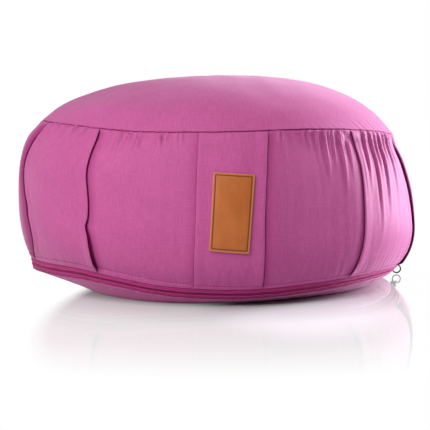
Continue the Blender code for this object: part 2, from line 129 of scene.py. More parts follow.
@dataclass(frozen=True)
class SmoothTable:
    """A smooth curve through rows of (place, value), closed on itself if period is set."""

    rows: Rows
    period: float = 0.0

    def at(self, where: Array) -> Array:
        """Read the curve.

        Args:
            where: The places to read.

        Returns:
            The value at each place.
        """
        xs, ys = (np.array(column, float) for column in zip(*self.rows))
        where = np.asarray(where, float)
        if self.period:
            where = (where - xs[0]) % self.period + xs[0]
            xs = np.concatenate([xs[-2:] - self.period, xs, xs[:2] + self.period])
            ys = np.concatenate([ys[-2:], ys, ys[:2]])
        last = len(xs) - 1
        index = np.clip(np.searchsorted(xs, where, side="right") - 1, 0, last - 1)
        before = np.maximum(index - 1, 0)
        after = np.minimum(index + 2, last)
        span = xs[index + 1] - xs[index]
        slope_in = (ys[index + 1] - ys[before]) / (xs[index + 1] - xs[before])
        slope_out = (ys[after] - ys[index]) / (xs[after] - xs[index])
        t = (where - xs[index]) / span
        start = (1.0 + 2.0 * t) * (1.0 - t) ** 2 * ys[index] + t * (1.0 - t) ** 2 * span * slope_in
        end = t * t * (3.0 - 2.0 * t) * ys[index + 1] + t * t * (t - 1.0) * span * slope_out
        return start + end


@dataclass(frozen=True)
class StuffedOutline:
    """The stuffed cover's outline without folds: top disc, side band, zip channel, base."""

    crown_top: float = 0.1735
    base_curl: float = 1.15
    seam_sink: float = 1.5 * MM
    channel_half: float = 4.9 * MM
    channel_depth: float = 1.5 * MM
    plain_half: float = 1.1 * MM
    zip_start: float = -104.0
    zip_end: float = 99.0
    zip_margin: float = 3.5
    zip_fade: float = 4.0
    band_radius_rows: Rows = (
        (0.00, 0.1588), (0.13, 0.1651), (0.29, 0.1681), (0.53, 0.1666), (0.76, 0.1617),
        (0.89, 0.1560), (1.00, 0.1493),
    )
    band_lean_rows: Rows = (
        (0.00, -0.0013), (0.13, -0.0002), (0.29, -0.0003), (0.53, -0.0025), (0.76, -0.0040),
        (0.89, -0.0040), (1.00, 0.0006),
    )
    crown_rise_rows: Rows = (
        (0.000, 1.000), (0.300, 0.943), (0.567, 0.794), (0.767, 0.573), (0.900, 0.323),
        (1.000, 0.000),
    )
    crown_lean_rows: Rows = (
        (0.000, 0.0000), (0.300, 0.0008), (0.567, 0.0016), (0.767, 0.0018), (0.900, 0.0009),
        (1.000, 0.0000),
    )
    top_seam_rows: Rows = (
        (-80.0, 0.1350), (-44.0, 0.1320), (-25.0, 0.1287), (0.0, 0.1287), (30.0, 0.1302),
        (54.0, 0.1280), (80.0, 0.1236), (130.0, 0.1265), (180.0, 0.1300), (230.0, 0.1330),
    )
    zip_seam_rows: Rows = (
        (-85.0, 0.0150), (-60.0, 0.0178), (-42.0, 0.0188), (-28.0, 0.0155), (-13.0, 0.0110),
        (8.0, 0.0093), (31.0, 0.0122), (55.0, 0.0137), (85.0, 0.0106), (130.0, 0.0105),
        (180.0, 0.0112), (225.0, 0.0130),
    )
    contact_rows: Rows = (
        (-75.0, 0.1190), (-56.0, 0.1255), (-43.0, 0.1345), (-29.0, 0.1405), (-12.0, 0.1430),
        (5.0, 0.1370), (25.0, 0.1320), (50.0, 0.1350), (75.0, 0.1370), (130.0, 0.1350),
        (180.0, 0.1370), (225.0, 0.1340),
    )
    stitch_rows: Rows = (
        (-80.0, 3.6 * MM), (-35.0, 4.6 * MM), (-14.0, 3.9 * MM), (3.0, 2.6 * MM), (40.0, 2.2 * MM),
        (80.0, 2.6 * MM), (180.0, 4.0 * MM), (240.0, 4.0 * MM),
    )
    zip_slope_rows: Rows = (
        (-85.0, 8.0), (-45.0, 22.0), (0.0, 33.0), (50.0, 36.0), (90.0, 45.0), (180.0, 35.0),
        (225.0, 22.0),
    )
    channel_section: Rows = (
        (-1.000, 0.00), (-1.020, 0.35), (-0.985, 1.00), (-0.500, 1.00), (0.500, 1.00),
        (0.985, 1.00), (1.000, 0.40), (1.000, 0.00),
    )

    def seam_height(self, azimuth: Array) -> Array:
        """The top seam's height round the cushion."""
        return SmoothTable(self.top_seam_rows, FULL_TURN).at(azimuth)

    def radius(self, azimuth: Array, share: Array) -> Array:
        """The band's radius at an azimuth and a share of its height."""
        lean = SmoothTable(self.band_lean_rows).at(share) * np.sin(np.radians(azimuth))
        return SmoothTable(self.band_radius_rows).at(share) + lean

    def zip_share(self, azimuth: Array) -> Array:
        """How much of the zip's channel there is.

        Args:
            azimuth: Where along the base seam.

        Returns:
            1 along the zip, fading to 0 where the seam is plain.
        """
        away = np.abs(wrap(azimuth - (self.zip_start + self.zip_end) / 2.0))
        half = (self.zip_end - self.zip_start) / 2.0 + self.zip_margin
        return 1.0 - smooth_step(half, half + self.zip_fade, away)

    def channel(self, azimuth: Array, across: Array, out: Array) -> tuple[Array, Array]:
        """A place on the zip's channel.

        Args:
            azimuth: Where along the zip.
            across: How far down across the channel from its middle, in metres.
            out: How far off its face, in metres.

        Returns:
            The radius and height of each place.
        """
        slope = np.radians(SmoothTable(self.zip_slope_rows, FULL_TURN).at(azimuth))
        middle = self.radius(azimuth, 0.0) - self.channel_half * np.sin(slope)
        height = SmoothTable(self.zip_seam_rows, FULL_TURN).at(azimuth)
        r = middle - across * np.sin(slope) + out * np.cos(slope)
        z = height - across * np.cos(slope) - out * np.sin(slope)
        return r, z

    def band(self, azimuth: Array, share: Array) -> tuple[Array, Array]:
        """A place on the band.

        Args:
            azimuth: Where round the cushion.
            share: The share of the band's height.

        Returns:
            The radius and height of each place.
        """
        hem = self.channel(azimuth, -self.channel_half, 0.0)[1]
        height = hem + (self.seam_height(azimuth) - hem) * share
        return self.radius(azimuth, share), height

    def band_face(self, azimuth: Array, share: Array, out: Array) -> Array:
        """Points at a distance off the band, along its outline's normal.

        Args:
            azimuth: Where each is round the cushion.
            share: Its share of the band's height.
            out: How far off the band it is, in metres.

        Returns:
            The points.
        """
        step = 0.01
        low_r, low_z = self.band(azimuth, np.maximum(0.0, share - step))
        high_r, high_z = self.band(azimuth, np.minimum(1.0, share + step))
        length = np.hypot(high_r - low_r, high_z - low_z)
        r, z = self.band(azimuth, share)
        normal_r, normal_z = (high_z - low_z) / length, -(high_r - low_r) / length
        return place(azimuth, r + out * normal_r, z + out * normal_z)

    def stitch_share(self, azimuth: Array) -> Array:
        """The line of the hem's stitches.

        Args:
            azimuth: Where along the hem.

        Returns:
            The share of the band's height at which they run.
        """
        hem = self.channel(azimuth, -self.channel_half, 0.0)[1]
        above = SmoothTable(self.stitch_rows, FULL_TURN).at(azimuth)
        return above / (self.seam_height(azimuth) - hem)

    def crown(self, azimuth: Array, reach: Array, out: Array) -> Array:
        """Points on the top disc.

        Args:
            azimuth: Where each is round the disc.
            reach: Its share of the seam's radius.
            out: How far it is lifted straight up, in metres.

        Returns:
            The points.
        """
        seam = self.seam_height(azimuth)
        rise = SmoothTable(self.crown_rise_rows).at(reach)
        lift = SmoothTable(self.crown_lean_rows).at(reach) * np.sin(np.radians(azimuth))
        height = seam + (self.crown_top - seam) * rise + lift
        return place(azimuth, self.radius(azimuth, 1.0) * reach, height + out)

    def base(self, azimuth: Array, share: Array) -> Array:
        """Points on the base disc.

        Args:
            azimuth: Where each is round the disc.
            share: 1 at the zip's lower edge, 0 where the disc meets the floor, -1 at its middle.

        Returns:
            The points.
        """
        edge_r, edge_z = self.channel(azimuth, self.channel_half, 0.0)
        contact = SmoothTable(self.contact_rows, FULL_TURN).at(azimuth)
        curl = np.maximum(share, 0.0)
        r = np.where(share <= 0.0, contact * (1.0 + share), contact + (edge_r - contact) * curl)
        return place(azimuth, r, edge_z * curl**self.base_curl)


@dataclass(frozen=True)
class Fold:
    """The folded edge of a box pleat, and the section of cloth that follows it.

    Attributes:
        name: What a maker would call it.
        edge: Rows of share of the band's height and the edge's azimuth there.
        opens: Which way its tuck opens.
        relief: How far it stands proud, against an ordinary fold.
        flap: How far its lower half lifts like a flap, in metres.
        level: How much further out the cloth beyond its tuck lies, in millimetres.
        depth: How much deeper its crevice is, in millimetres.
        width: How wide its crevice is, in millimetres.
        puff: How far the cloth up to the next fold bulges, in metres.
        gloom: How much painted shade darkens the cloth at the far side of its tuck.
        shade: How much painted shade darkens the cloth beyond that.
        reach: How far that goes, as a share of the way to the next fold.
        fine: Whether it gets the close spacing of the side that faces the camera.
    """

    name: str
    edge: Rows
    opens: Opens
    relief: float = 1.0
    flap: float = 0.0
    level: float = 0.0
    depth: float = 0.3
    width: float = 1.6
    puff: float = 1.0 * MM
    gloom: float = 0.0
    shade: float = 0.0
    reach: float = 0.25
    fine: bool = False

    def azimuth(self, share: Array) -> Array:
        """The edge's azimuth at a share of the band's height."""
        return SmoothTable(self.edge).at(share)


LEFT_REAR = (
    (0.00, -66.7), (0.08, -63.6), (0.16, -61.4), (0.26, -60.9), (0.34, -62.1), (0.42, -62.9),
    (0.50, -65.2), (0.60, -67.0), (0.68, -67.6), (0.75, -66.9), (0.84, -64.9), (0.92, -63.5),
    (1.00, -64.0),
)
LEFT_FRONT = (
    (0.00, -34.3), (0.05, -34.1), (0.11, -34.2), (0.18, -34.4), (0.26, -34.8), (0.33, -35.7),
    (0.38, -35.1), (0.47, -34.8), (0.56, -35.1), (0.70, -35.9), (0.83, -35.6), (0.92, -35.5),
    (1.00, -36.4),
)
STRIP_LEFT = ((0.0, -6.1), (0.4, -5.4), (0.7, -5.2), (1.0, -5.1))
STRIP_RIGHT = ((0.0, 12.0), (0.39, 11.8), (0.65, 12.4), (0.85, 13.3), (1.0, 14.4))
RIGHT_FRONT = (
    (0.00, 39.2), (0.06, 40.2), (0.14, 40.9), (0.25, 41.5), (0.40, 42.1), (0.54, 42.6),
    (0.67, 43.1), (0.78, 43.3), (0.89, 43.3), (1.00, 42.8),
)
RIGHT_REAR = (
    (0.00, 67.6), (0.08, 69.7), (0.17, 71.2), (0.29, 72.0), (0.45, 72.0), (0.60, 71.3),
    (0.75, 70.8), (0.87, 70.8), (1.00, 69.6),
)

FOLDS = (
    Fold(
        "left panel, rear", LEFT_REAR, Opens.LEFT, 0.9, 0.3 * MM, 1.9, 1.2, 2.8,
        gloom=1.0, shade=0.42, reach=0.36, fine=True,
    ),
    Fold("left panel, front", LEFT_FRONT, Opens.RIGHT, 0.8, 2.2 * MM, 0.2, 0.0, 1.0, 0.5 * MM, fine=True),
    Fold("front strip, left", STRIP_LEFT, Opens.LEFT, 0.48, 0.0, 0.4, -0.1, 0.4, 0.5 * MM, fine=True),
    Fold("front strip, right", STRIP_RIGHT, Opens.RIGHT, 0.70, 0.0, 0.2, 0.0, 1.0, -3.9 * MM, fine=True),
    Fold("right panel, front", RIGHT_FRONT, Opens.LEFT, 0.75, 0.0, 0.4, 0.0, 0.3, 1.2 * MM, fine=True),
    Fold(
        "right panel, rear", RIGHT_REAR, Opens.RIGHT, 0.9, 0.2 * MM, 4.2, 1.6, 2.6, 0.4 * MM,
        gloom=1.0, shade=0.7, reach=0.20, fine=True,
    ),
    Fold("rear right panel, near", ((0.0, 107.0), (0.6, 108.7), (1.0, 108.5)), Opens.LEFT, 1.1),
    Fold("rear right panel, far", ((0.0, 144.2), (0.6, 145.0), (1.0, 144.0)), Opens.RIGHT, 1.1),
    Fold("rear strip, right", ((0.0, 174.6), (0.6, 175.2), (1.0, 174.5)), Opens.LEFT, 0.7),
    Fold("rear strip, left", ((0.0, 193.2), (0.5, 192.6), (1.0, 193.5)), Opens.RIGHT, 0.8),
    Fold("rear left panel, far", ((0.0, 223.4), (0.5, 223.0), (1.0, 222.0)), Opens.LEFT, 1.1),
    Fold("rear left panel, near", ((0.0, 258.0), (0.5, 259.0), (1.0, 258.0)), Opens.RIGHT, puff=0.2 * MM),
)


@dataclass(frozen=True)
class TuckStop:
    """One place on the cloth's path across a folded edge, in millimetres.

    Attributes:
        name: Where on the fold it is.
        pressed: How far along the seam it is pressed flat.
        along: How far beyond the edge it lies in between.
        out: How far it stands out.
        lift: How much of a flap's lift it takes.
        takes: How much of the fold's level it takes.
        deep: How much of the crevice's extra depth it takes.
        wide: How much of the crevice's width is added to along.
        dim: How much painted shade darkens the cloth there, between 0 and 1.
    """

    name: str
    pressed: float
    along: float
    out: float
    lift: float
    takes: float = 0.0
    deep: float = 0.0
    wide: float = 0.0
    dim: float = 0.0


TUCK = (
    TuckStop("panel", -9.0, -9.0, 0.80, 0.35),
    TuckStop("brow", -3.8, -3.6, 1.50, 0.85),
    TuckStop("edge top", -2.0, -1.1, 1.65, 1.00),
    TuckStop("nose", -1.0, 0.0, 1.10, 1.00, dim=0.1),
    TuckStop("under", -0.3, -0.7, 0.45, 0.90, dim=0.7),
    TuckStop("tuck end", 0.4, -4.0, -0.35, 0.15, 0.1, 0.5, dim=1.0),
    TuckStop("tuck floor", 1.1, -3.5, -0.95, 0.0, 0.1, 0.9, dim=1.0),
    TuckStop("valley", 1.9, 0.0, -1.00, 0.0, 0.2, 1.0, 0.35, 1.0),
    TuckStop("rise", 2.8, 0.0, -0.80, 0.0, 0.9, 0.0, 1.0, 0.5),
    TuckStop("section", 8.0, 8.0, -0.60, 0.0, 0.7),
)
FINE_STEPS = 3
PLAIN_STEPS = 2
FINE_PITCH = 1.35 * MM
PLAIN_PITCH = 2.4 * MM


@dataclass(frozen=True)
class Gather:
    """One wrinkle that runs from the top seam down the band, and a little way up the disc.

    Attributes:
        top: Its azimuth at the seam.
        foot: Its azimuth at its lower end.
        length: The share of the band's height that it runs down.
        height: How high its ridge is, in metres.
        width: How wide its ridge is.
        rise: How far up the disc it runs.
    """

    top: float
    foot: float
    length: float
    height: float
    width: float
    rise: float

    def lines(self, azimuth: Array, run: Array, radius: Array) -> tuple[Array, Array]:
        """Its ridge and the crease beside it.

        Args:
            azimuth: Where each point is.
            run: How far each point is along the wrinkle: 0 at the seam, 1 at its end.
            radius: The cover's radius at each point.

        Returns:
            How much each point belongs to the ridge, and to the crease, between 0 and 1.
        """
        middle = self.top + (self.foot - self.top) * np.clip(run, 0.0, 1.0) ** 1.3
        across = np.radians(wrap(azimuth - middle)) * radius
        width = self.width * (0.6 + 0.7 * np.clip(run, 0.0, 1.0))
        ridge = np.exp(-((across / width) ** 2) * 1.6)
        crease = np.exp(-(((across + 1.15 * width) / width) ** 2) * 7.0)
        fade = (1.0 - smooth_step(0.15, 1.0, run)) * (0.55 + 0.45 * smooth_step(0.0, 0.10, run))
        return ridge * fade, crease * fade

    def lift(self, azimuth: Array, run: Array, radius: Array) -> Array:
        """How far it lifts each point, in metres."""
        ridge, crease = self.lines(azimuth, run, radius)
        return self.height * (ridge - 0.55 * crease)


@dataclass(frozen=True)
class GatherRun:
    """A run of similar gathers between two azimuths, each a little different.

    Attributes:
        start: The azimuth at which it starts.
        end: The azimuth at which it ends.
        count: How many gathers it has.
        length: The shortest and the longest, as shares of the band's height.
        height: How high the highest ridge is, in metres.
        width: How wide a ridge is.
        lean: How many degrees a gather leans over the band's whole height.
        rise: How far up the disc the highest runs.
    """

    start: float
    end: float
    count: int
    length: Pair
    height: float
    width: float
    lean: float
    rise: float

    def draw(self, dice: np.random.Generator) -> list[Gather]:
        """Draw the run's gathers.

        Args:
            dice: The seeded source of their differences.

        Returns:
            The gathers, in order of azimuth.
        """
        pitch = (self.end - self.start) / self.count
        made = []
        for number in range(self.count):
            top = self.start + pitch * (number + 0.5 + dice.uniform(-0.3, 0.3))
            size = dice.uniform(0.45, 1.0)
            length = self.length[0] + (self.length[1] - self.length[0]) * dice.uniform(0.0, 1.0)
            foot = top + self.lean * length * dice.uniform(0.6, 1.4)
            height = self.height * size
            width = self.width * dice.uniform(0.75, 1.25)
            made.append(Gather(top, foot, length, height, width, self.rise * size))
        return made


LONG_GATHERS = tuple(
    Gather(top, foot, length, height * MM, width * MM, rise * MM)
    for top, foot, length, height, width, rise in (
        (45.2, 44.0, 0.70, 0.8, 1.7, 8.0), (48.4, 45.6, 0.52, 1.7, 2.3, 12.0),
        (51.6, 48.6, 0.88, 1.7, 2.6, 14.0), (54.4, 52.6, 0.40, 1.5, 1.9, 14.0),
        (57.2, 53.0, 0.74, 1.8, 3.0, 18.0), (60.3, 58.2, 0.36, 1.3, 1.8, 18.0),
        (63.2, 59.4, 0.66, 1.5, 2.7, 22.0), (66.4, 64.8, 0.48, 1.2, 1.9, 20.0),
        (40.6, 39.8, 0.36, 1.4, 1.6, 8.0), (38.0, 36.8, 0.48, 1.5, 1.8, 9.0),
        (35.3, 34.3, 0.30, 1.3, 1.5, 10.0), (32.4, 31.8, 0.40, 1.3, 1.8, 9.0),
        (29.6, 29.0, 0.24, 1.0, 1.5, 8.0), (-59.0, -60.5, 0.20, 2.5, 2.4, 2.0),
        (-54.6, -55.8, 0.16, 2.6, 2.0, 2.0), (-50.2, -52.0, 0.26, 2.5, 2.4, 2.0),
        (-45.6, -47.0, 0.18, 2.7, 2.0, 2.0), (-41.4, -42.0, 0.13, 2.4, 1.7, 2.0),
        (-31.2, -31.8, 0.13, 1.8, 1.7, 2.0), (-28.4, -28.8, 0.18, 2.3, 1.8, 2.0),
        (-25.2, -25.8, 0.14, 2.0, 1.7, 2.0), (-22.2, -22.4, 0.16, 2.1, 1.9, 2.0),
        (-15.8, -16.2, 0.13, 1.9, 1.7, 2.0),
    )
)

GATHER_RUNS = (
    GatherRun(-62.0, -38.0, 8, (0.05, 0.12), 1.30 * MM, 1.2 * MM, -1.0, 2.0 * MM),
    GatherRun(-34.0, -8.0, 11, (0.05, 0.15), 1.60 * MM, 1.3 * MM, -1.0, 3.0 * MM),
    GatherRun(-4.0, 13.0, 4, (0.05, 0.14), 0.35 * MM, 1.6 * MM, 0.0, 1.5 * MM),
    GatherRun(16.0, 43.0, 11, (0.08, 0.24), 0.95 * MM, 1.3 * MM, -2.0, 9.0 * MM),
    GatherRun(44.0, 67.0, 8, (0.10, 0.30), 0.60 * MM, 1.6 * MM, -4.0, 16.0 * MM),
    GatherRun(78.0, 106.0, 11, (0.08, 0.26), 0.80 * MM, 1.5 * MM, 1.0, 6.0 * MM),
    GatherRun(110.0, 143.0, 13, (0.10, 0.40), 1.00 * MM, 1.8 * MM, 2.0, 7.0 * MM),
    GatherRun(146.0, 173.0, 9, (0.07, 0.22), 0.80 * MM, 1.5 * MM, 1.0, 4.0 * MM),
    GatherRun(176.0, 192.0, 4, (0.05, 0.14), 0.35 * MM, 1.6 * MM, 0.0, 2.0 * MM),
    GatherRun(195.0, 221.0, 9, (0.07, 0.22), 0.80 * MM, 1.5 * MM, -1.0, 4.0 * MM),
    GatherRun(224.0, 257.0, 12, (0.10, 0.36), 1.00 * MM, 1.8 * MM, -2.0, 6.0 * MM),
    GatherRun(260.0, 294.0, 10, (0.08, 0.24), 0.80 * MM, 1.5 * MM, 1.0, 4.0 * MM),
)


RELIEF_SEED = 41
RELIEF_WAVES = 14


@dataclass(frozen=True)
class Relief:
    """A gentle uneven relief, such as the filling's slight lumps, as a sum of waves.

    Attributes:
        across: Its wavelength along the first coordinate, in metres.
        along: Its wavelength along the second.
        height: How high its crests are.
        salt: A number that makes it unlike the others.
    """

    across: float
    along: float
    height: float
    salt: int

    def at(self, u: Array, v: Array | float = 0.0) -> Array:
        """Read the relief.

        Args:
            u: First coordinate of each point in metres.
            v: Second coordinate in metres.

        Returns:
            How high it is at each point.
        """
        dice = np.random.default_rng(RELIEF_SEED + self.salt)
        total = np.zeros(np.broadcast(u, v).shape)
        for _ in range(RELIEF_WAVES):
            turn = dice.uniform(0.0, math.tau)
            stretch = dice.uniform(0.7, 1.5)
            phase = dice.uniform(0.0, math.tau)
            ku = math.tau * math.cos(turn) / (self.across * stretch)
            kv = math.tau * math.sin(turn) / (self.along * stretch)
            total += np.sin(ku * u + kv * v + phase)
        return total / math.sqrt(RELIEF_WAVES / 2.0) * 0.5 * self.height


BAND_LUMPS = Relief(70.0 * MM, 60.0 * MM, 0.55 * MM, 1)
BAND_TENSION = Relief(9.0 * MM, 90.0 * MM, 0.09 * MM, 2)
HEM_PUCKER = Relief(7.0 * MM, 80.0 * MM, 0.22 * MM, 3)
CROWN_LUMPS = Relief(85.0 * MM, 85.0 * MM, 0.80 * MM, 4)
CROWN_TENSION = Relief(26.0 * MM, 34.0 * MM, 0.18 * MM, 5)
SEAM_WOBBLE = Relief(14.0 * MM, 1.0, 0.35 * MM, 6)
BASE_PUCKER = Relief(9.0 * MM, 1.0, 0.30 * MM, 8)


@dataclass(frozen=True)
class ClothFinish:
    """Magenta cotton twill: fine weave, slubs and a soft sheen, with painted shade in its folds, creases
    and top seam.
    """

    colour: Triple = (0.500, 0.092, 0.282)
    light_thread: Triple = (0.545, 0.112, 0.318)
    # The next two colours are painted shade: what the cloth turns to deep in its tucks, creases and seam.
    deep: Triple = (0.300, 0.012, 0.135)
    deepest: Triple = (0.095, 0.002, 0.042)
    thread_pitch: float = 0.55 * MM
    roughness: float = 0.62
    sheen: float = 0.28
    sheen_roughness: float = 0.45
    sheen_tint: tuple[float, float, float, float] = (1.0, 0.80, 0.93, 1.0)
    specular: float = 0.16
    bump: float = 0.10 * MM

    def build(self) -> Material:
        """Make the material.

        Returns:
            The cover's material, read through the UV map named cloth, in metres.
        """
        graph = Graph("magenta cotton twill")
        uv = graph.add("ShaderNodeUVMap", uv_map="cloth").outputs[0]
        warp = graph.noise(uv, (1.0 / (0.9 * MM), 1.0 / (9.0 * MM), 1.0), detail=2.0)
        weft = graph.noise(uv, (1.0 / (7.0 * MM), 1.0 / (0.8 * MM), 1.0), detail=2.0)
        cloud = graph.noise(uv, (1.0 / (38.0 * MM), 1.0 / (30.0 * MM), 1.0), detail=3.0)
        threads = graph.sum_of(warp, 0.55, weft, 0.45)
        tone = graph.sum_of(threads, 0.8, cloud, 0.2)
        ramp = graph.ramp(tone, ((0.36, self.dark()), (0.52, self.colour), (0.68, self.light_thread)))
        # dim is a painted-shade mask: it darkens the colour towards the two shade colours, and cuts sheen
        # and specular there.
        dim = graph.add("ShaderNodeAttribute", attribute_name="dim").outputs["Fac"]
        double = graph.math("MULTIPLY", dim, 2.0)
        half = graph.math("MINIMUM", double, 1.0)
        rest = graph.math("MAXIMUM", graph.math("SUBTRACT", double, 1.0), 0.0)
        graph.link(graph.mix(rest, graph.mix(half, ramp, self.deep), self.deepest), "Base Color")
        open_air = graph.math("SUBTRACT", 1.0, graph.math("MULTIPLY", half, 0.8))
        graph.link(graph.math("MULTIPLY", open_air, self.sheen), "Sheen Weight")
        graph.link(graph.math("MULTIPLY", open_air, self.specular), "Specular IOR Level")
        weave = graph.weave(uv, self.thread_pitch)
        graph.bump(graph.sum_of(weave, 0.6, threads, 0.9), self.bump, 0.45)
        graph.set("Roughness", self.roughness)
        graph.set("Sheen Roughness", self.sheen_roughness)
        graph.set("Sheen Tint", self.sheen_tint)
        return graph.material

    def dark(self) -> Triple:
        """The colour between the threads."""
        return tuple(channel * 0.86 for channel in self.colour)


@dataclass(frozen=True)
class TapeFinish:
    """Crimson zip tape: a close twill with faint streaks."""

    colour: Triple = (0.420, 0.034, 0.185)
    rib_pitch: float = 0.5 * MM
    bump: float = 0.12 * MM
    roughness: float = 0.72
    specular: float = 0.15
    sheen: float = 0.1

    def build(self) -> Material:
        """Make the material.

        Returns:
            The tape's material, read through the UV map named cloth, in metres.
        """
        graph = Graph("crimson zip tape")
        uv = graph.add("ShaderNodeUVMap", uv_map="cloth").outputs[0]
        weave = graph.weave(uv, self.rib_pitch)
        streak = graph.noise(uv, (1.0 / (6.0 * MM), 1.0 / (0.6 * MM), 1.0), detail=2.0)
        tone = graph.sum_of(weave, 0.35, streak, 0.65)
        dark = tuple(channel * 0.7 for channel in self.colour)
        light = tuple(min(1.0, channel * 1.35) for channel in self.colour)
        graph.link(graph.ramp(tone, ((0.25, dark), (0.5, self.colour), (0.8, light))), "Base Color")
        graph.bump(weave, self.bump, 0.6)
        graph.set("Roughness", self.roughness)
        graph.set("Specular IOR Level", self.specular)
        graph.set("Sheen Weight", self.sheen)
        return graph.material


@dataclass(frozen=True)
class PlainFinish:
    """A finish of one colour with fine mottling: thread, nylon, or satin metal."""

    name: str
    colour: Triple
    roughness: float
    metallic: float = 0.0
    mottling: float = 0.12
    grain: float = 0.8 * MM
    bump: float = 0.02 * MM
    specular: float = 0.15

    def build(self) -> Material:
        """Make the material.

        Returns:
            A material whose mottling follows the object's own coordinates.
        """
        graph = Graph(self.name)
        place_on = graph.add("ShaderNodeTexCoord").outputs["Object"]
        scale = 1.0 / self.grain
        mottle = graph.noise(place_on, (scale, scale, scale), detail=2.0)
        dark = tuple(channel * (1.0 - self.mottling) for channel in self.colour)
        light = tuple(min(1.0, channel * (1.0 + self.mottling)) for channel in self.colour)
        graph.link(graph.ramp(mottle, ((0.3, dark), (0.7, light))), "Base Color")
        graph.bump(mottle, self.bump, 0.5)
        graph.set("Roughness", self.roughness)
        graph.set("Metallic", self.metallic)
        graph.set("Specular IOR Level", self.specular)
        return graph.material


@dataclass(frozen=True)
class LeatherFinish:
    """Tan leather: smooth grain, cloudy dye, a pressed dark stitch groove, and a lighter cut edge, partly
    raw leather and partly a painted highlight.
    """

    colour: Triple = (0.420, 0.112, 0.020)
    light: Triple = (0.500, 0.150, 0.032)
    groove: Triple = (0.240, 0.052, 0.010)
    raw: Triple = (0.560, 0.215, 0.085)
    bump: float = 0.05 * MM
    roughness: float = 0.48
    specular: float = 0.35

    def build(self) -> Material:
        """Make the material.

        Returns:
            The patch's material. Its point attributes are rim, 1 at the lighter cut edge, and dim, 1 in the
            groove.
        """
        graph = Graph("tan leather")
        uv = graph.add("ShaderNodeUVMap", uv_map="cloth").outputs[0]
        cloud = graph.noise(uv, (70.0, 45.0, 1.0), detail=4.0)
        grain = graph.noise(uv, (1600.0, 1600.0, 1.0), detail=3.0)
        crease = graph.noise(uv, (420.0, 380.0, 1.0), detail=4.0)
        tone = graph.sum_of(cloud, 0.75, crease, 0.25)
        face = graph.ramp(tone, ((0.34, self.colour), (0.66, self.light)))
        dim = graph.add("ShaderNodeAttribute", attribute_name="dim").outputs["Fac"]
        rim = graph.add("ShaderNodeAttribute", attribute_name="rim").outputs["Fac"]
        # The rim is painted lighter: partly the raw edge's own colour, partly a painted highlight of light
        # catching the edge.
        graph.link(graph.mix(rim, graph.mix(dim, face, self.groove), self.raw), "Base Color")
        graph.bump(graph.sum_of(grain, 0.5, crease, 1.0), self.bump, 0.5)
        graph.set("Roughness", self.roughness)
        graph.set("Specular IOR Level", self.specular)
        return graph.material


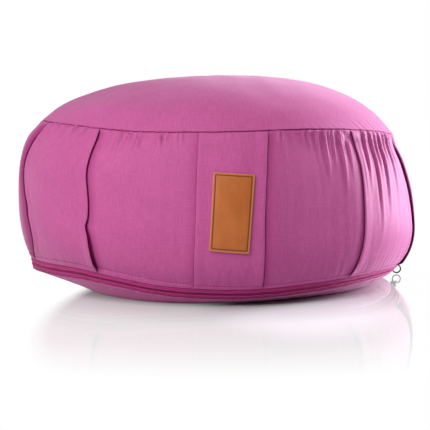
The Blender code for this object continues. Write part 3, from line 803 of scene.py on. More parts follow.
class Graph:
    """A material under construction, with short calls for the nodes that the finishes use."""

    def __init__(self, name: str) -> None:
        """Start a material with a Principled shader.

        Args:
            name: The material's name.
        """
        self.material = bpy.data.materials.new(name)
        self.material.use_nodes = True
        self.tree = self.material.node_tree
        self.shader = self.tree.nodes["Principled BSDF"]

    def add(self, kind: str, **settings: object) -> Node:
        """Add a node and set its properties.

        Args:
            kind: The node's type.
            settings: Its properties by name.

        Returns:
            The node.
        """
        node = self.tree.nodes.new(kind)
        for name, value in settings.items():
            setattr(node, name, value)
        return node

    def blend_over(self, distance: Socket, span: Pair, inner: Node, outer: Node) -> Node:
        """Blend softly from one shader to another over a span of distance.

        Args:
            distance: The distance.
            span: Where the blend starts and ends.
            inner: The shader up to its start.
            outer: The shader past its end.

        Returns:
            The mixed shader.
        """
        share = self.add("ShaderNodeMapRange", interpolation_type="SMOOTHSTEP")
        self.wire(distance, share.inputs["Value"])
        share.inputs["From Min"].default_value, share.inputs["From Max"].default_value = span
        mixed = self.add("ShaderNodeMixShader")
        self.wire(share.outputs[0], mixed.inputs[0])
        self.wire(inner.outputs[0], mixed.inputs[1])
        self.wire(outer.outputs[0], mixed.inputs[2])
        return mixed

    def spread_from(self, place_on: Socket, centre: Triple, scale: Triple) -> Socket:
        """Measure the distance from a centre, stretched along each axis.

        Args:
            place_on: The position.
            centre: The centre.
            scale: The stretch along each axis.

        Returns:
            The distance.
        """
        shift = self.add("ShaderNodeVectorMath", operation="SUBTRACT")
        self.wire(place_on, shift.inputs[0])
        shift.inputs[1].default_value = centre
        oval = self.add("ShaderNodeVectorMath", operation="MULTIPLY")
        self.wire(shift.outputs[0], oval.inputs[0])
        oval.inputs[1].default_value = scale
        spread = self.add("ShaderNodeVectorMath", operation="LENGTH")
        self.wire(oval.outputs[0], spread.inputs[0])
        return spread.outputs["Value"]

    def wire(self, source: object, socket: Socket) -> None:
        """Feed a socket from another socket, or give it a plain value.

        Args:
            source: The other socket, or the value.
            socket: The socket to feed.
        """
        if isinstance(source, Socket):
            self.tree.links.new(source, socket)
        elif isinstance(source, tuple) and len(source) == 3 and socket.type == "RGBA":
            socket.default_value = (*source, 1.0)
        else:
            socket.default_value = source

    def link(self, source: object, name: str) -> None:
        """Feed one of the shader's sockets."""
        self.wire(source, self.shader.inputs[name])

    def set(self, name: str, value: object) -> None:
        """Set a constant on the shader's own socket."""
        self.shader.inputs[name].default_value = value

    def noise(self, where: Socket, scale: Triple, detail: float) -> Socket:
        """Noise stretched by a scale.

        Args:
            where: The coordinates to read.
            scale: Features for each metre along each coordinate.
            detail: How many finer layers there are.

        Returns:
            The noise's factor.
        """
        stretch = self.add("ShaderNodeVectorMath", operation="MULTIPLY")
        self.wire(where, stretch.inputs[0])
        stretch.inputs[1].default_value = scale
        made = self.add("ShaderNodeTexNoise")
        made.inputs["Scale"].default_value = 1.0
        made.inputs["Detail"].default_value = detail
        self.wire(stretch.outputs[0], made.inputs["Vector"])
        return made.outputs[0]

    def math(self, operation: str, first: object, second: object = 0.0) -> Socket:
        """One sum on two numbers.

        Args:
            operation: The sum's name.
            first: Its first number, or the socket that gives it.
            second: Its second.

        Returns:
            The result.
        """
        node = self.add("ShaderNodeMath", operation=operation)
        self.wire(first, node.inputs[0])
        self.wire(second, node.inputs[1])
        return node.outputs[0]

    def sum_of(self, first: object, share: float, second: object, other: float) -> Socket:
        """Two numbers added up, each in its own share."""
        return self.math("ADD", self.math("MULTIPLY", first, share), self.math("MULTIPLY", second, other))

    def ramp(self, factor: Socket, stops: tuple[tuple[float, Triple], ...]) -> Socket:
        """A colour ramp.

        Args:
            factor: What it reads.
            stops: Places on the ramp with their linear colours.

        Returns:
            The colour.
        """
        node = self.add("ShaderNodeValToRGB")
        elements = node.color_ramp.elements
        while len(elements) < len(stops):
            elements.new(0.5)
        for element, (position, colour) in zip(elements, stops):
            element.position = position
            element.color = (*colour, 1.0)
        self.wire(factor, node.inputs[0])
        return node.outputs[0]

    def mix(self, factor: object, first: object, second: object) -> Socket:
        """A blend of two colours.

        Args:
            factor: How much of the second there is.
            first: The first colour, or the socket that gives it.
            second: The second.

        Returns:
            The colour.
        """
        node = self.add("ShaderNodeMix", data_type="RGBA")
        self.wire(factor, node.inputs[0])
        self.wire(first, node.inputs[6])
        self.wire(second, node.inputs[7])
        return node.outputs[2]

    def weave(self, uv: Socket, pitch: float) -> Socket:
        """A twill of threads over and under each other.

        Args:
            uv: Cloth coordinates in metres.
            pitch: The distance between threads.

        Returns:
            The thread's height from 0 to 1.
        """
        parts = self.add("ShaderNodeSeparateXYZ")
        self.wire(uv, parts.inputs[0])
        turns = math.tau / pitch
        across = self.math("SINE", self.math("MULTIPLY", parts.outputs[0], turns))
        diagonal = self.sum_of(parts.outputs[0], 1.0, parts.outputs[1], 2.0)
        twill = self.math("SINE", self.math("MULTIPLY", diagonal, turns / 2.0))
        return self.math("ADD", self.sum_of(across, 0.22, twill, 0.28), 0.5)

    def bump(self, height: Socket, distance: float, strength: float) -> None:
        """Give the shader a bump.

        Args:
            height: The height that it reads.
            distance: How far a height of 1 stands out, in metres.
            strength: How strongly it shows, between 0 and 1.
        """
        node = self.add("ShaderNodeBump")
        node.inputs["Distance"].default_value = distance
        node.inputs["Strength"].default_value = strength
        self.wire(height, node.inputs["Height"])
        self.link(node.outputs[0], "Normal")


class MeshDraft:
    """Points, faces and cloth coordinates gathered up for one mesh object."""

    def __init__(self) -> None:
        """Start with nothing."""
        self.points: list[Array] = []
        self.cloth: list[Array] = []
        self.dim: list[Array] = []
        self.faces: list[tuple[int, ...]] = []
        self.count = 0

    def row(self, points: Array, cloth: Array, dim: Array | float = 0.0) -> int:
        """Add a row of points.

        Args:
            points: The points.
            cloth: Their cloth coordinates in metres.
            dim: How much darker each is coloured, between 0 and 1: painted shade on the cover, the groove's
                own darker colour on the patch.

        Returns:
            The index of the first of them.
        """
        first = self.count
        self.points.append(points)
        self.cloth.append(cloth)
        self.dim.append(np.broadcast_to(dim, len(points)))
        self.count += len(points)
        return first

    def strip(self, upper: int, lower: int, count: int, closed: bool = True) -> None:
        """Join two rows of the same length with four-sided faces.

        Args:
            upper: The index of the upper row.
            lower: The index of the lower row.
            count: How many points each has.
            closed: Whether each row's last point joins its first.
        """
        for step in range(count if closed else count - 1):
            ahead = (step + 1) % count
            self.faces.append((upper + step, lower + step, lower + ahead, upper + ahead))

    def halve(self, fine: int, coarse: int, count: int, coarse_below: bool) -> None:
        """Join a closed row to one with half as many points.

        Args:
            fine: The index of the row with more points.
            coarse: The index of the other.
            count: How many points the first has.
            coarse_below: Whether the coarse row lies below the fine one.
        """
        for step in range(count // 2):
            a, b, c = fine + 2 * step, fine + 2 * step + 1, fine + (2 * step + 2) % count
            d, e = coarse + step, coarse + (step + 1) % (count // 2)
            three = [(a, d, b), (b, d, e), (b, e, c)]
            self.faces += three if coarse_below else [face[::-1] for face in three]

    def build(self, name: str, finish: Material) -> Piece:
        """Make the mesh object, smooth, with its cloth coordinates as a UV map.

        Args:
            name: The object's name.
            finish: Its material.

        Returns:
            The object, linked to the scene.
        """
        mesh = bpy.data.meshes.new(name)
        mesh.from_pydata(np.concatenate(self.points).tolist(), [], self.faces)
        layer = mesh.uv_layers.new(name="cloth")
        corners = np.zeros(len(mesh.loops), np.int32)
        mesh.loops.foreach_get("vertex_index", corners)
        layer.data.foreach_set("uv", np.concatenate(self.cloth)[corners].astype(np.float32).ravel())
        dim = mesh.attributes.new("dim", "FLOAT", "POINT")
        dim.data.foreach_set("value", np.concatenate(self.dim).astype(np.float32))
        mesh.shade_smooth()
        mesh.materials.append(finish)
        made = bpy.data.objects.new(name, mesh)
        bpy.context.scene.collection.objects.link(made)
        return made

    def tube(self, rings: Array, closed: bool) -> None:
        """Add a tube.

        Args:
            rings: Its rings of points, as an array of rings by points by 3.
            closed: Whether its last ring joins its first. If not, both ends are capped.
        """
        sides = rings.shape[1]
        starts = []
        for number, ring in enumerate(rings):
            round_it = np.linspace(0.0, 1.0, sides, endpoint=False) * 2.0 * MM
            starts.append(self.row(ring, np.stack([np.full(sides, number * 1.0 * MM), round_it], -1)))
        for number in range(len(starts) if closed else len(starts) - 1):
            self.strip(starts[number], starts[(number + 1) % len(starts)], sides)
        if not closed:
            self.faces.append(tuple(starts[0] + step for step in range(sides)))
            self.faces.append(tuple(starts[-1] + step for step in reversed(range(sides))))

    def build_outward(self, name: str, finish: Material) -> Piece:
        """Make the mesh object with every face turned outwards.

        Args:
            name: The object's name.
            finish: Its material.

        Returns:
            The object, linked to the scene.
        """
        made = self.build(name, finish)
        work = bmesh.new()
        work.from_mesh(made.data)
        bmesh.ops.recalc_face_normals(work, faces=work.faces)
        work.to_mesh(made.data)
        work.free()
        return made


@dataclass
class PleatedCover:
    """The whole stuffed cover as one closed mesh: top disc, pleated band, channel and base.

    Attributes:
        outline: The outline that it follows.
        seed: The seed of its gathers.
        levels: How many rows of points the band has between its seams.
        crowding: How much closer together those rows are near both ends.
        column_radius: The radius at which the columns' spacing is measured.
        band_radius: The radius at which the band's unevenness is laid out.
        band_height: The band's height in cloth coordinates.
        seam_radius: The radius at which the two seams' unevenness is laid out.
        seam_jogs: Azimuths at which the top seam steps up or down, and by how much.
        seam_dim: How much painted shade darkens the top seam's groove.
        crease_width: The width past which a gather has a crease.
        crease_height: The height from which its crease is at its deepest.
        crease_most: How much painted shade darkens the crease there.
        hem_thick: How far the turned hem stands out.
        stitch_dent: How deep its stitches pull in.
        crown_gather: A gather's height on the disc, against its height on the band.
        crown_lean: How many degrees it leans there.
        crown_even: Reaches on the disc between which the columns' spacing turns uneven.
        base_even: Shares on the base between which it does.
        base_shares: The rows of points on the base.
        press: The share of the band's height over which each seam presses the tucks shut.
        flap: Shares between which a flap starts to lift, and those between which it ends.
        step_hold: How much less of a fold's level there is at the top seam.
        step_from: The share from which it is less.
    """

    outline: StuffedOutline
    seed: int = 7
    levels: int = 84
    crowding: float = 0.28
    column_radius: float = 0.166
    band_radius: float = 0.165
    band_height: float = 0.125
    seam_radius: float = 0.150
    seam_jogs: Rows = ((-42.0, -1.3 * MM), (15.6, 1.2 * MM))
    seam_dim: float = 0.6
    crease_width: float = 1.55 * MM
    crease_height: float = 2.0 * MM
    crease_most: float = 0.32
    hem_thick: float = 0.35 * MM
    stitch_dent: float = 0.40 * MM
    crown_gather: float = 0.26
    crown_lean: float = -2.4
    crown_even: Pair = (0.5, 0.97)
    base_even: Pair = (-0.5, 0.6)
    base_shares: tuple[float, ...] = (
        0.93, 0.80, 0.62, 0.44, 0.28, 0.14, 0.04, 0.0, -0.03, -0.15, -0.4, -0.7,
    )
    press: float = 0.034
    flap: tuple[float, float, float, float] = (0.0, 0.09, 0.20, 0.40)
    step_hold: float = 0.85
    step_from: float = 0.83

    def __post_init__(self) -> None:
        """Draw the gathers and lay out the lines of points."""
        dice = np.random.default_rng(self.seed)
        self.gathers = list(LONG_GATHERS)
        for run in GATHER_RUNS:
            self.gathers += run.draw(dice)
        self.lay_columns()

    def band_shares(self) -> Array:
        """Shares of the band's height from the seam down, closer together near both ends."""
        even = np.linspace(0.0, 1.0, self.levels + 2)[1:-1]
        return 1.0 - (even - self.crowding * np.sin(math.tau * even) / math.tau)

    def lay_columns(self) -> None:
        """Work out every line of points: those across each fold, then those up to the next."""
        stops, plain = [], []
        for index, fold in enumerate(FOLDS):
            after = FOLDS[(index + 1) % len(FOLDS)]
            between = FINE_STEPS if fold.fine else PLAIN_STEPS
            path = np.linspace(0.0, len(TUCK) - 1.0, (len(TUCK) - 1) * between + 1)
            stops.append(path if fold.opens is Opens.RIGHT else path[::-1])
            width = math.radians(float(after.azimuth(0.5) - fold.azimuth(0.5)) % FULL_TURN)
            pitch = FINE_PITCH if fold.fine else PLAIN_PITCH
            plain.append(int(width * self.column_radius / pitch) - len(TUCK))
        total = sum(len(path) for path in stops) + sum(plain)
        plain[-1] += -total % 4
        numbers = [np.full(len(path) + count, i) for i, (path, count) in enumerate(zip(stops, plain))]
        self.fold_of = np.concatenate(numbers)
        self.stop_of = np.concatenate(
            [np.concatenate([path, np.full(count, -1.0)]) for path, count in zip(stops, plain)]
        )
        self.gap_of = np.concatenate(
            [
                np.concatenate([np.zeros(len(path)), np.arange(1, count + 1) / (count + 1.0)])
                for path, count in zip(stops, plain)
            ]
        )
        self.count = len(self.fold_of)

    def opening(self, share: float) -> float:
        """How far the tucks are open: both seams press them shut."""
        return float(smooth_step(0.0, self.press, 1.0 - share) * smooth_step(0.0, self.press, share))

    def flap_lift(self, share: float) -> float:
        """How much of its lift a flap has at a share of the band's height."""
        return float(smooth_step(*self.flap[:2], share) * (1.0 - smooth_step(*self.flap[2:], share)))

    def fold_values(self, share: float) -> tuple[Array, Array]:
        """Every column's place across its own fold.

        Args:
            share: The level on the band.

        Returns:
            How far each column lies beyond its fold's edge, and how far out, in metres.
        """
        opening = self.opening(share)
        stop = np.maximum(self.stop_of, 0.0)
        number = self.fold_of

        def path(name: str) -> Array:
            """One of the tuck's columns of values, read at every line of points."""
            rows = tuple((float(step), getattr(row, name)) for step, row in enumerate(TUCK))
            return SmoothTable(rows).at(stop)

        def each(name: str) -> Array:
            """One of the folds' values for every line of points."""
            return np.array([getattr(fold, name) for fold in FOLDS])[number]

        pressed = path("pressed")
        along = path("along") + path("wide") * each("width")
        held = 1.0 - self.step_hold * float(smooth_step(self.step_from, 1.0, share))
        level = path("takes") * each("level") * held
        out = path("out") * each("relief") + level - path("deep") * each("depth")
        lift = path("lift") * each("flap") * self.flap_lift(share)
        return (pressed + (along - pressed) * opening) * MM, out * MM * opening + lift

    def column_places(self, share: float) -> tuple[Array, Array]:
        """Where every column is at one level of the band.

        Args:
            share: The level.

        Returns:
            The azimuths in degrees, and how far out the cloth lies.
        """
        edges = np.array([float(fold.azimuth(share)) for fold in FOLDS])
        sides = np.array([fold.opens.value for fold in FOLDS])
        edge = edges[self.fold_of]
        radius = self.outline.radius(edge, share)
        sideways, outward = self.fold_values(share)
        azimuth = edge + np.degrees(sideways * sides[self.fold_of] / radius)
        folded = self.stop_of >= 0.0
        first = np.searchsorted(self.fold_of, np.arange(len(FOLDS)))
        last = np.array([np.flatnonzero(folded & (self.fold_of == i))[-1] for i in range(len(FOLDS))])
        start_at, start_out = azimuth[last], outward[last]
        ahead = np.roll(first, -1)
        end_at = start_at + (azimuth[ahead] - start_at) % FULL_TURN
        end_out = outward[ahead]
        puffs = np.array([fold.puff for fold in FOLDS]) * math.sin(math.pi * share)
        gap, number = self.gap_of, self.fold_of
        ease = smooth_step(0.0, 1.0, gap)
        plain_at = start_at[number] + (end_at - start_at)[number] * gap
        plain_out = start_out[number] + (end_out - start_out)[number] * ease
        plain_out = plain_out + puffs[number] * np.sin(math.pi * gap)
        return np.where(folded, azimuth, plain_at), np.where(folded, outward, plain_out)

    def band_lift(self, azimuth: Array, share: float) -> Array:
        """The gathers and unevenness on the band.

        Args:
            azimuth: Where each point is.
            share: The level.

        Returns:
            How far out they lift each point, in metres.
        """
        radius = self.outline.radius(azimuth, share)
        total = np.zeros_like(azimuth)
        for gather in self.gathers:
            run = (1.0 - share) / gather.length
            if run < 1.0:
                total += gather.lift(azimuth, run, radius)
        u = np.radians(azimuth) * self.band_radius
        v = share * self.band_height
        hold = math.sin(math.pi * share) ** 0.5
        near_hem = float(smooth_step(0.0, 0.03, share) * (1.0 - smooth_step(0.04, 0.22, share)))
        uneven = (BAND_LUMPS.at(u, v) + BAND_TENSION.at(u, v)) * hold
        return total + uneven + HEM_PUCKER.at(u, v) * near_hem

    def crease_painted_shade(self, share: float) -> Array:
        """The painted shade in the gathers' creases.

        Args:
            share: The level on the band.

        Returns:
            How much darker it is painted at every column, between 0 and 1.
        """
        azimuth = self.column_places(share)[0]
        radius = self.outline.radius(azimuth, share)
        total = np.zeros_like(azimuth)
        for gather in self.gathers:
            run = (1.0 - share) / gather.length
            if run < 1.0 and gather.width > self.crease_width:
                strength = min(gather.height / self.crease_height, 1.0) ** 2
                total = np.maximum(total, gather.lines(azimuth, run, radius)[1] * strength)
        return total * self.crease_most

    def stitch_groove(self, azimuth: Array, share: float) -> Array:
        """The dent of the row of stitches along the hem, and the thicker hem below it.

        Args:
            azimuth: Where each point is.
            share: The level on the band.

        Returns:
            How far out they lift each point, in metres.
        """
        line = self.outline.stitch_share(azimuth)
        hem = smooth_step(0.0, 0.01, share) * (1.0 - smooth_step(-0.006, 0.004, share - line))
        dent = np.exp(-(((share - line) / 0.006) ** 2))
        return self.hem_thick * hem - self.stitch_dent * dent

    def crown_lift(self, azimuth: Array, reach: float) -> Array:
        """The gathers and unevenness on the top disc.

        Args:
            azimuth: Where each point is.
            reach: The share of the seam's radius.

        Returns:
            How far up they lift each point, in metres.
        """
        radius = self.outline.radius(azimuth, 1.0)
        away = (1.0 - reach) * self.seam_radius
        total = np.zeros_like(azimuth)
        for gather in self.gathers:
            run = away / max(gather.rise * 0.7, 0.1 * MM)
            if run < 1.0:
                foot = gather.top + self.crown_lean
                height = gather.height * self.crown_gather
                total += replace(gather, foot=foot, height=height).lift(azimuth, run, radius)
        turn = np.radians(azimuth)
        x, y = radius * reach * np.sin(turn), -radius * reach * np.cos(turn)
        uneven = CROWN_LUMPS.at(x, y) + CROWN_TENSION.at(x, y)
        return total + uneven * float(smooth_step(0.0, 0.12, 1.0 - reach))

    def even_azimuths(self, top: Array, share: float, start: float, end: float) -> Array:
        """Azimuths that turn from the folds' spacing to an even one.

        Args:
            top: The folds' spacing.
            share: Where the row is.
            start: The share at which the spacing is even.
            end: The share at which it is the folds' own.

        Returns:
            The row's azimuths.
        """
        even = top[0] + np.arange(self.count) * FULL_TURN / self.count
        hold = float(smooth_step(start, end, share))
        return top + wrap(even - top) * (1.0 - hold)

    def seam_row(self, azimuth: Array) -> Array:
        """The bottom of the top seam's groove, with the small steps that sewing leaves.

        Args:
            azimuth: Where each point is.

        Returns:
            The points.
        """
        height = self.outline.seam_height(azimuth) + SEAM_WOBBLE.at(np.radians(azimuth) * self.seam_radius)
        for at, size in self.seam_jogs:
            past = wrap(azimuth - at)
            height += size * smooth_step(-0.5, 0.5, past) * (1.0 - smooth_step(1.0, 5.0, past))
        return place(azimuth, self.outline.radius(azimuth, 1.0) - self.outline.seam_sink, height)

    def build(self, finish: Material) -> Piece:
        """Make the cover.

        Args:
            finish: The cloth's material.

        Returns:
            The closed mesh object.
        """
        draft = MeshDraft()
        top_places = self.column_places(1.0)[0]
        hem_places = self.column_places(0.0)[0]
        coarse = self.add_crown(draft, top_places)
        line = self.seam_row(top_places)
        # The seam's row is darkened by painted shade in its groove.
        seam = draft.row(line, self.flat_cloth(line), self.seam_dim)
        draft.strip(coarse, seam, self.count)
        below = self.add_band(draft, seam)
        self.add_base(draft, below, hem_places)
        return draft.build("cushion_cover", finish)

    def flat_cloth(self, points: Array) -> Array:
        """Cloth coordinates of a flat disc: its plan."""
        return points[:, :2]

    def add_crown(self, draft: MeshDraft, top_places: Array) -> int:
        """Add the top disc from its pole down to just above the seam.

        Args:
            draft: The mesh so far.
            top_places: The columns' azimuths at the seam.

        Returns:
            The index of the disc's last row.
        """
        coarse_reaches = np.concatenate([np.linspace(0.03, 0.62, 18), np.linspace(0.645, 0.80, 9)])
        fine_reaches = 1.0 - 0.19 * (1.0 - np.linspace(0.0, 1.0, 27)[:-1]) ** 1.35
        pole = self.outline.crown(np.zeros(1), np.zeros(1), self.crown_lift(np.zeros(1), 0.0))
        centre = draft.row(pole, self.flat_cloth(pole))
        half = self.count // 2
        last = -1
        for reach in coarse_reaches:
            azimuth = self.even_azimuths(top_places, reach, *self.crown_even)[::2]
            points = self.outline.crown(azimuth, reach, self.crown_lift(azimuth, reach))
            first = draft.row(points, self.flat_cloth(points))
            if last < 0:
                for step in range(half):
                    draft.faces.append((centre, first + step, first + (step + 1) % half))
            else:
                draft.strip(last, first, half)
            last = first
        coarse = True
        for reach in fine_reaches:
            azimuth = self.even_azimuths(top_places, reach, *self.crown_even)
            points = self.outline.crown(azimuth, reach, self.crown_lift(azimuth, reach))
            first = draft.row(points, self.flat_cloth(points))
            if coarse:
                draft.halve(first, last, self.count, False)
                coarse = False
            else:
                draft.strip(last, first, self.count)
            last = first
        return last

    def add_band(self, draft: MeshDraft, last: int) -> int:
        """Add the pleated band from the top seam down to the hem.

        Args:
            draft: The mesh so far.
            last: The index of the seam's row.

        Returns:
            The index of the hem's row.
        """
        middle = self.outline.band_face(*self.level(0.5))
        lengths = np.linalg.norm(np.diff(middle, axis=0), axis=1)
        u = np.concatenate([[0.0], np.cumsum(lengths)])
        for share in (*self.band_shares().tolist(), 0.0):
            points = self.outline.band_face(*self.level(share))
            cloth = np.stack([u, np.full(self.count, share * self.band_height)], -1)
            # Painted shade: the folds' crevices and the gathers' creases are coloured darker.
            dim = np.maximum(self.fold_painted_shade(share), self.crease_painted_shade(share))
            first = draft.row(points, cloth, dim)
            draft.strip(last, first, self.count)
            last = first
        return last

    def fold_painted_shade(self, share: float) -> Array:
        """The painted shade in and beside the folds: most inside the tucks.

        Args:
            share: The level on the band.

        Returns:
            How much darker it is painted at every column, between 0 and 1.
        """
        rows = tuple((float(step), row.dim) for step, row in enumerate(TUCK))
        values = [(fold.gloom, fold.shade, fold.reach, fold.opens.value, fold.relief) for fold in FOLDS]
        gloom, shade, reach, sides, relief = (np.array(column) for column in zip(*values))
        inside = SmoothTable(rows).at(np.maximum(self.stop_of, 0.0)) * 0.5
        inside = inside * np.minimum(1.4 * relief, 1.0)[self.fold_of]
        last = len(TUCK) - 1.0
        at = self.stop_of
        # Painted shade on the far side of a tuck, and on the cloth beyond it.
        rise = smooth_step(last - 5.0, last - 3.0, at) * gloom[self.fold_of]
        beyond = smooth_step(last - 1.0, last, at) * (gloom - shade)[self.fold_of]
        here = np.maximum(inside, rise - beyond)
        after = (self.fold_of + 1) % len(FOLDS)
        from_start = np.where(sides[self.fold_of] > 0, shade[self.fold_of], 0.0)
        from_end = np.where(sides[after] < 0, shade[after], 0.0)
        plain = from_start * (1.0 - smooth_step(0.0, 1.0, self.gap_of / reach[self.fold_of]))
        plain += from_end * (1.0 - smooth_step(0.0, 1.0, (1.0 - self.gap_of) / reach[after]))
        return np.where(at >= 0.0, here, plain) * self.opening(share)

    def level(self, share: float) -> tuple[Array, Array, Array]:
        """The band's points at one level.

        Args:
            share: The level.

        Returns:
            Their azimuths, their shares of the height, and how far off the outline they lie.
        """
        azimuth, out = self.column_places(share)
        out = out + self.band_lift(azimuth, share) + self.stitch_groove(azimuth, share)
        return azimuth, np.full(self.count, share), out

    def outer_line(self, azimuth: Array, share: float) -> Array:
        """The outermost layer of cloth on one level.

        Args:
            azimuth: Where to read it.
            share: The level.

        Returns:
            How far off the outline it lies, in metres.
        """
        places, _, out = self.level(share)
        part = np.linspace(0.0, 1.0, 9)[:-1]
        all_at = places[:, None] + wrap(np.roll(places, -1) - places)[:, None] * part
        all_out = out[:, None] + (np.roll(out, -1) - out)[:, None] * part
        line = np.full(3600, -1.0)
        np.maximum.at(line, np.round(all_at * 10.0).astype(int).ravel() % 3600, all_out.ravel())
        filled = np.flatnonzero(line > -0.9)
        return np.interp(azimuth, filled / 10.0, line[filled], period=FULL_TURN)

    def on_cloth(self, azimuth: Array, share: Array, off: Array) -> Array:
        """Points at a distance off the visible cloth of the band.

        Args:
            azimuth: Where each point is.
            share: Its share of the band's height.
            off: How far off the cloth it lies, in metres.

        Returns:
            The points.
        """
        levels = np.linspace(share.min(), share.max() + 0.001, 16)
        table = np.array([self.outer_line(azimuth, float(level)) for level in levels])
        at = (share - levels[0]) / (levels[1] - levels[0])
        low = np.clip(at.astype(int), 0, len(levels) - 2)
        number = np.arange(len(azimuth))
        out = table[low, number] + (table[low + 1, number] - table[low, number]) * (at - low)
        return self.outline.band_face(azimuth, share, out + off)

    def add_base(self, draft: MeshDraft, last: int, hem_places: Array) -> None:
        """Add the zip's channel and the base disc.

        Args:
            draft: The mesh so far.
            last: The index of the hem's row.
            hem_places: The columns' azimuths at the hem.
        """
        outline = self.outline
        widening = (outline.channel_half - outline.plain_half) * outline.zip_share(hem_places)
        half_width = outline.plain_half + widening
        for across, depth in outline.channel_section:
            sunk = -outline.channel_depth * depth
            points = place(hem_places, *outline.channel(hem_places, across * half_width, sunk))
            first = draft.row(points, self.flat_cloth(points))
            draft.strip(last, first, self.count)
            last = first
        half = self.count // 2
        fine = True
        for share in self.base_shares:
            azimuth = self.even_azimuths(hem_places, share, *self.base_even)[::2]
            points = outline.base(azimuth, np.full(half, share))
            hold = float(smooth_step(0.15, 0.6, share) * (1.0 - smooth_step(0.85, 1.0, share)))
            points[:, 2] += BASE_PUCKER.at(np.radians(azimuth) * self.seam_radius) * hold
            first = draft.row(points, self.flat_cloth(points))
            if fine:
                draft.halve(last, first, self.count, True)
                fine = False
            else:
                draft.strip(last, first, half)
            last = first
        pole = draft.row(np.zeros((1, 3)), np.zeros((1, 2)))
        for step in range(half):
            draft.faces.append((last + step, pole, last + (step + 1) % half))


@dataclass(frozen=True)
class ThreadRow:
    """A row of short rounded lengths of thread or nylon, each arched over its middle.

    Attributes:
        length: How long each is.
        thickness: How thick it is in its middle.
        arch: How much higher its middle lies than its ends.
        sides: How many sides its section has.
        profile: Places along its half length, and the share of its thickness there.
    """

    length: float
    thickness: float
    arch: float
    sides: int = 6
    profile: Rows = ((-1.0, 0.35), (-0.82, 0.8), (-0.4, 1.0), (0.4, 1.0), (0.82, 0.8), (1.0, 0.35))

    def build(self, name: str, centres: Array, along: Array, up: Array, finish: Material) -> Piece:
        """Make the row.

        Args:
            name: The object's name.
            centres: The middle of each length.
            along: The unit direction of each.
            up: The unit direction away from what each lies on.
            finish: Its material.

        Returns:
            The mesh object.
        """
        draft = MeshDraft()
        side = np.cross(along, up)
        turn = np.linspace(0.0, math.tau, self.sides, endpoint=False)
        for centre, ahead, away, beside in zip(centres, along, up, side):
            rings = []
            for step, size in self.profile:
                middle = centre + ahead * step * self.length / 2.0 + away * self.arch * (1.0 - step * step)
                spoke = np.outer(np.cos(turn), beside) + np.outer(np.sin(turn), away)
                rings.append(middle + spoke * self.thickness / 2.0 * size)
            draft.tube(np.array(rings), False)
        return draft.build_outward(name, finish)


def unit(vectors: Array) -> Array:
    """Vectors scaled to length 1."""
    return vectors / np.linalg.norm(vectors, axis=-1, keepdims=True)


@dataclass
class HemStitches:
    """The row of stitches that holds the band's turned hem, a few millimetres above it."""

    hem_radius: float = 0.161
    pitch: float = 2.5 * MM
    off: float = 0.06 * MM
    look_ahead: float = 0.25
    row: ThreadRow = ThreadRow(1.75 * MM, 0.42 * MM, 0.10 * MM)

    def build(self, cover: PleatedCover, finish: Material) -> Piece:
        """Make the stitches.

        Args:
            cover: The cover they are sewn through.
            finish: The thread's material.

        Returns:
            The mesh object.
        """
        count = int(math.tau * self.hem_radius / self.pitch)
        azimuth = np.arange(count) * FULL_TURN / count
        share = cover.outline.stitch_share(azimuth)
        off = np.full(count, self.off)
        centres = cover.on_cloth(azimuth, share, off)
        ahead = cover.on_cloth(azimuth + self.look_ahead, share, off)
        face = cover.outline.band_face(azimuth, share, 0.0)
        higher = cover.outline.band_face(azimuth, share, 1.0 * MM)
        return self.row.build("hem_stitches", centres, unit(ahead - centres), unit(higher - face), finish)


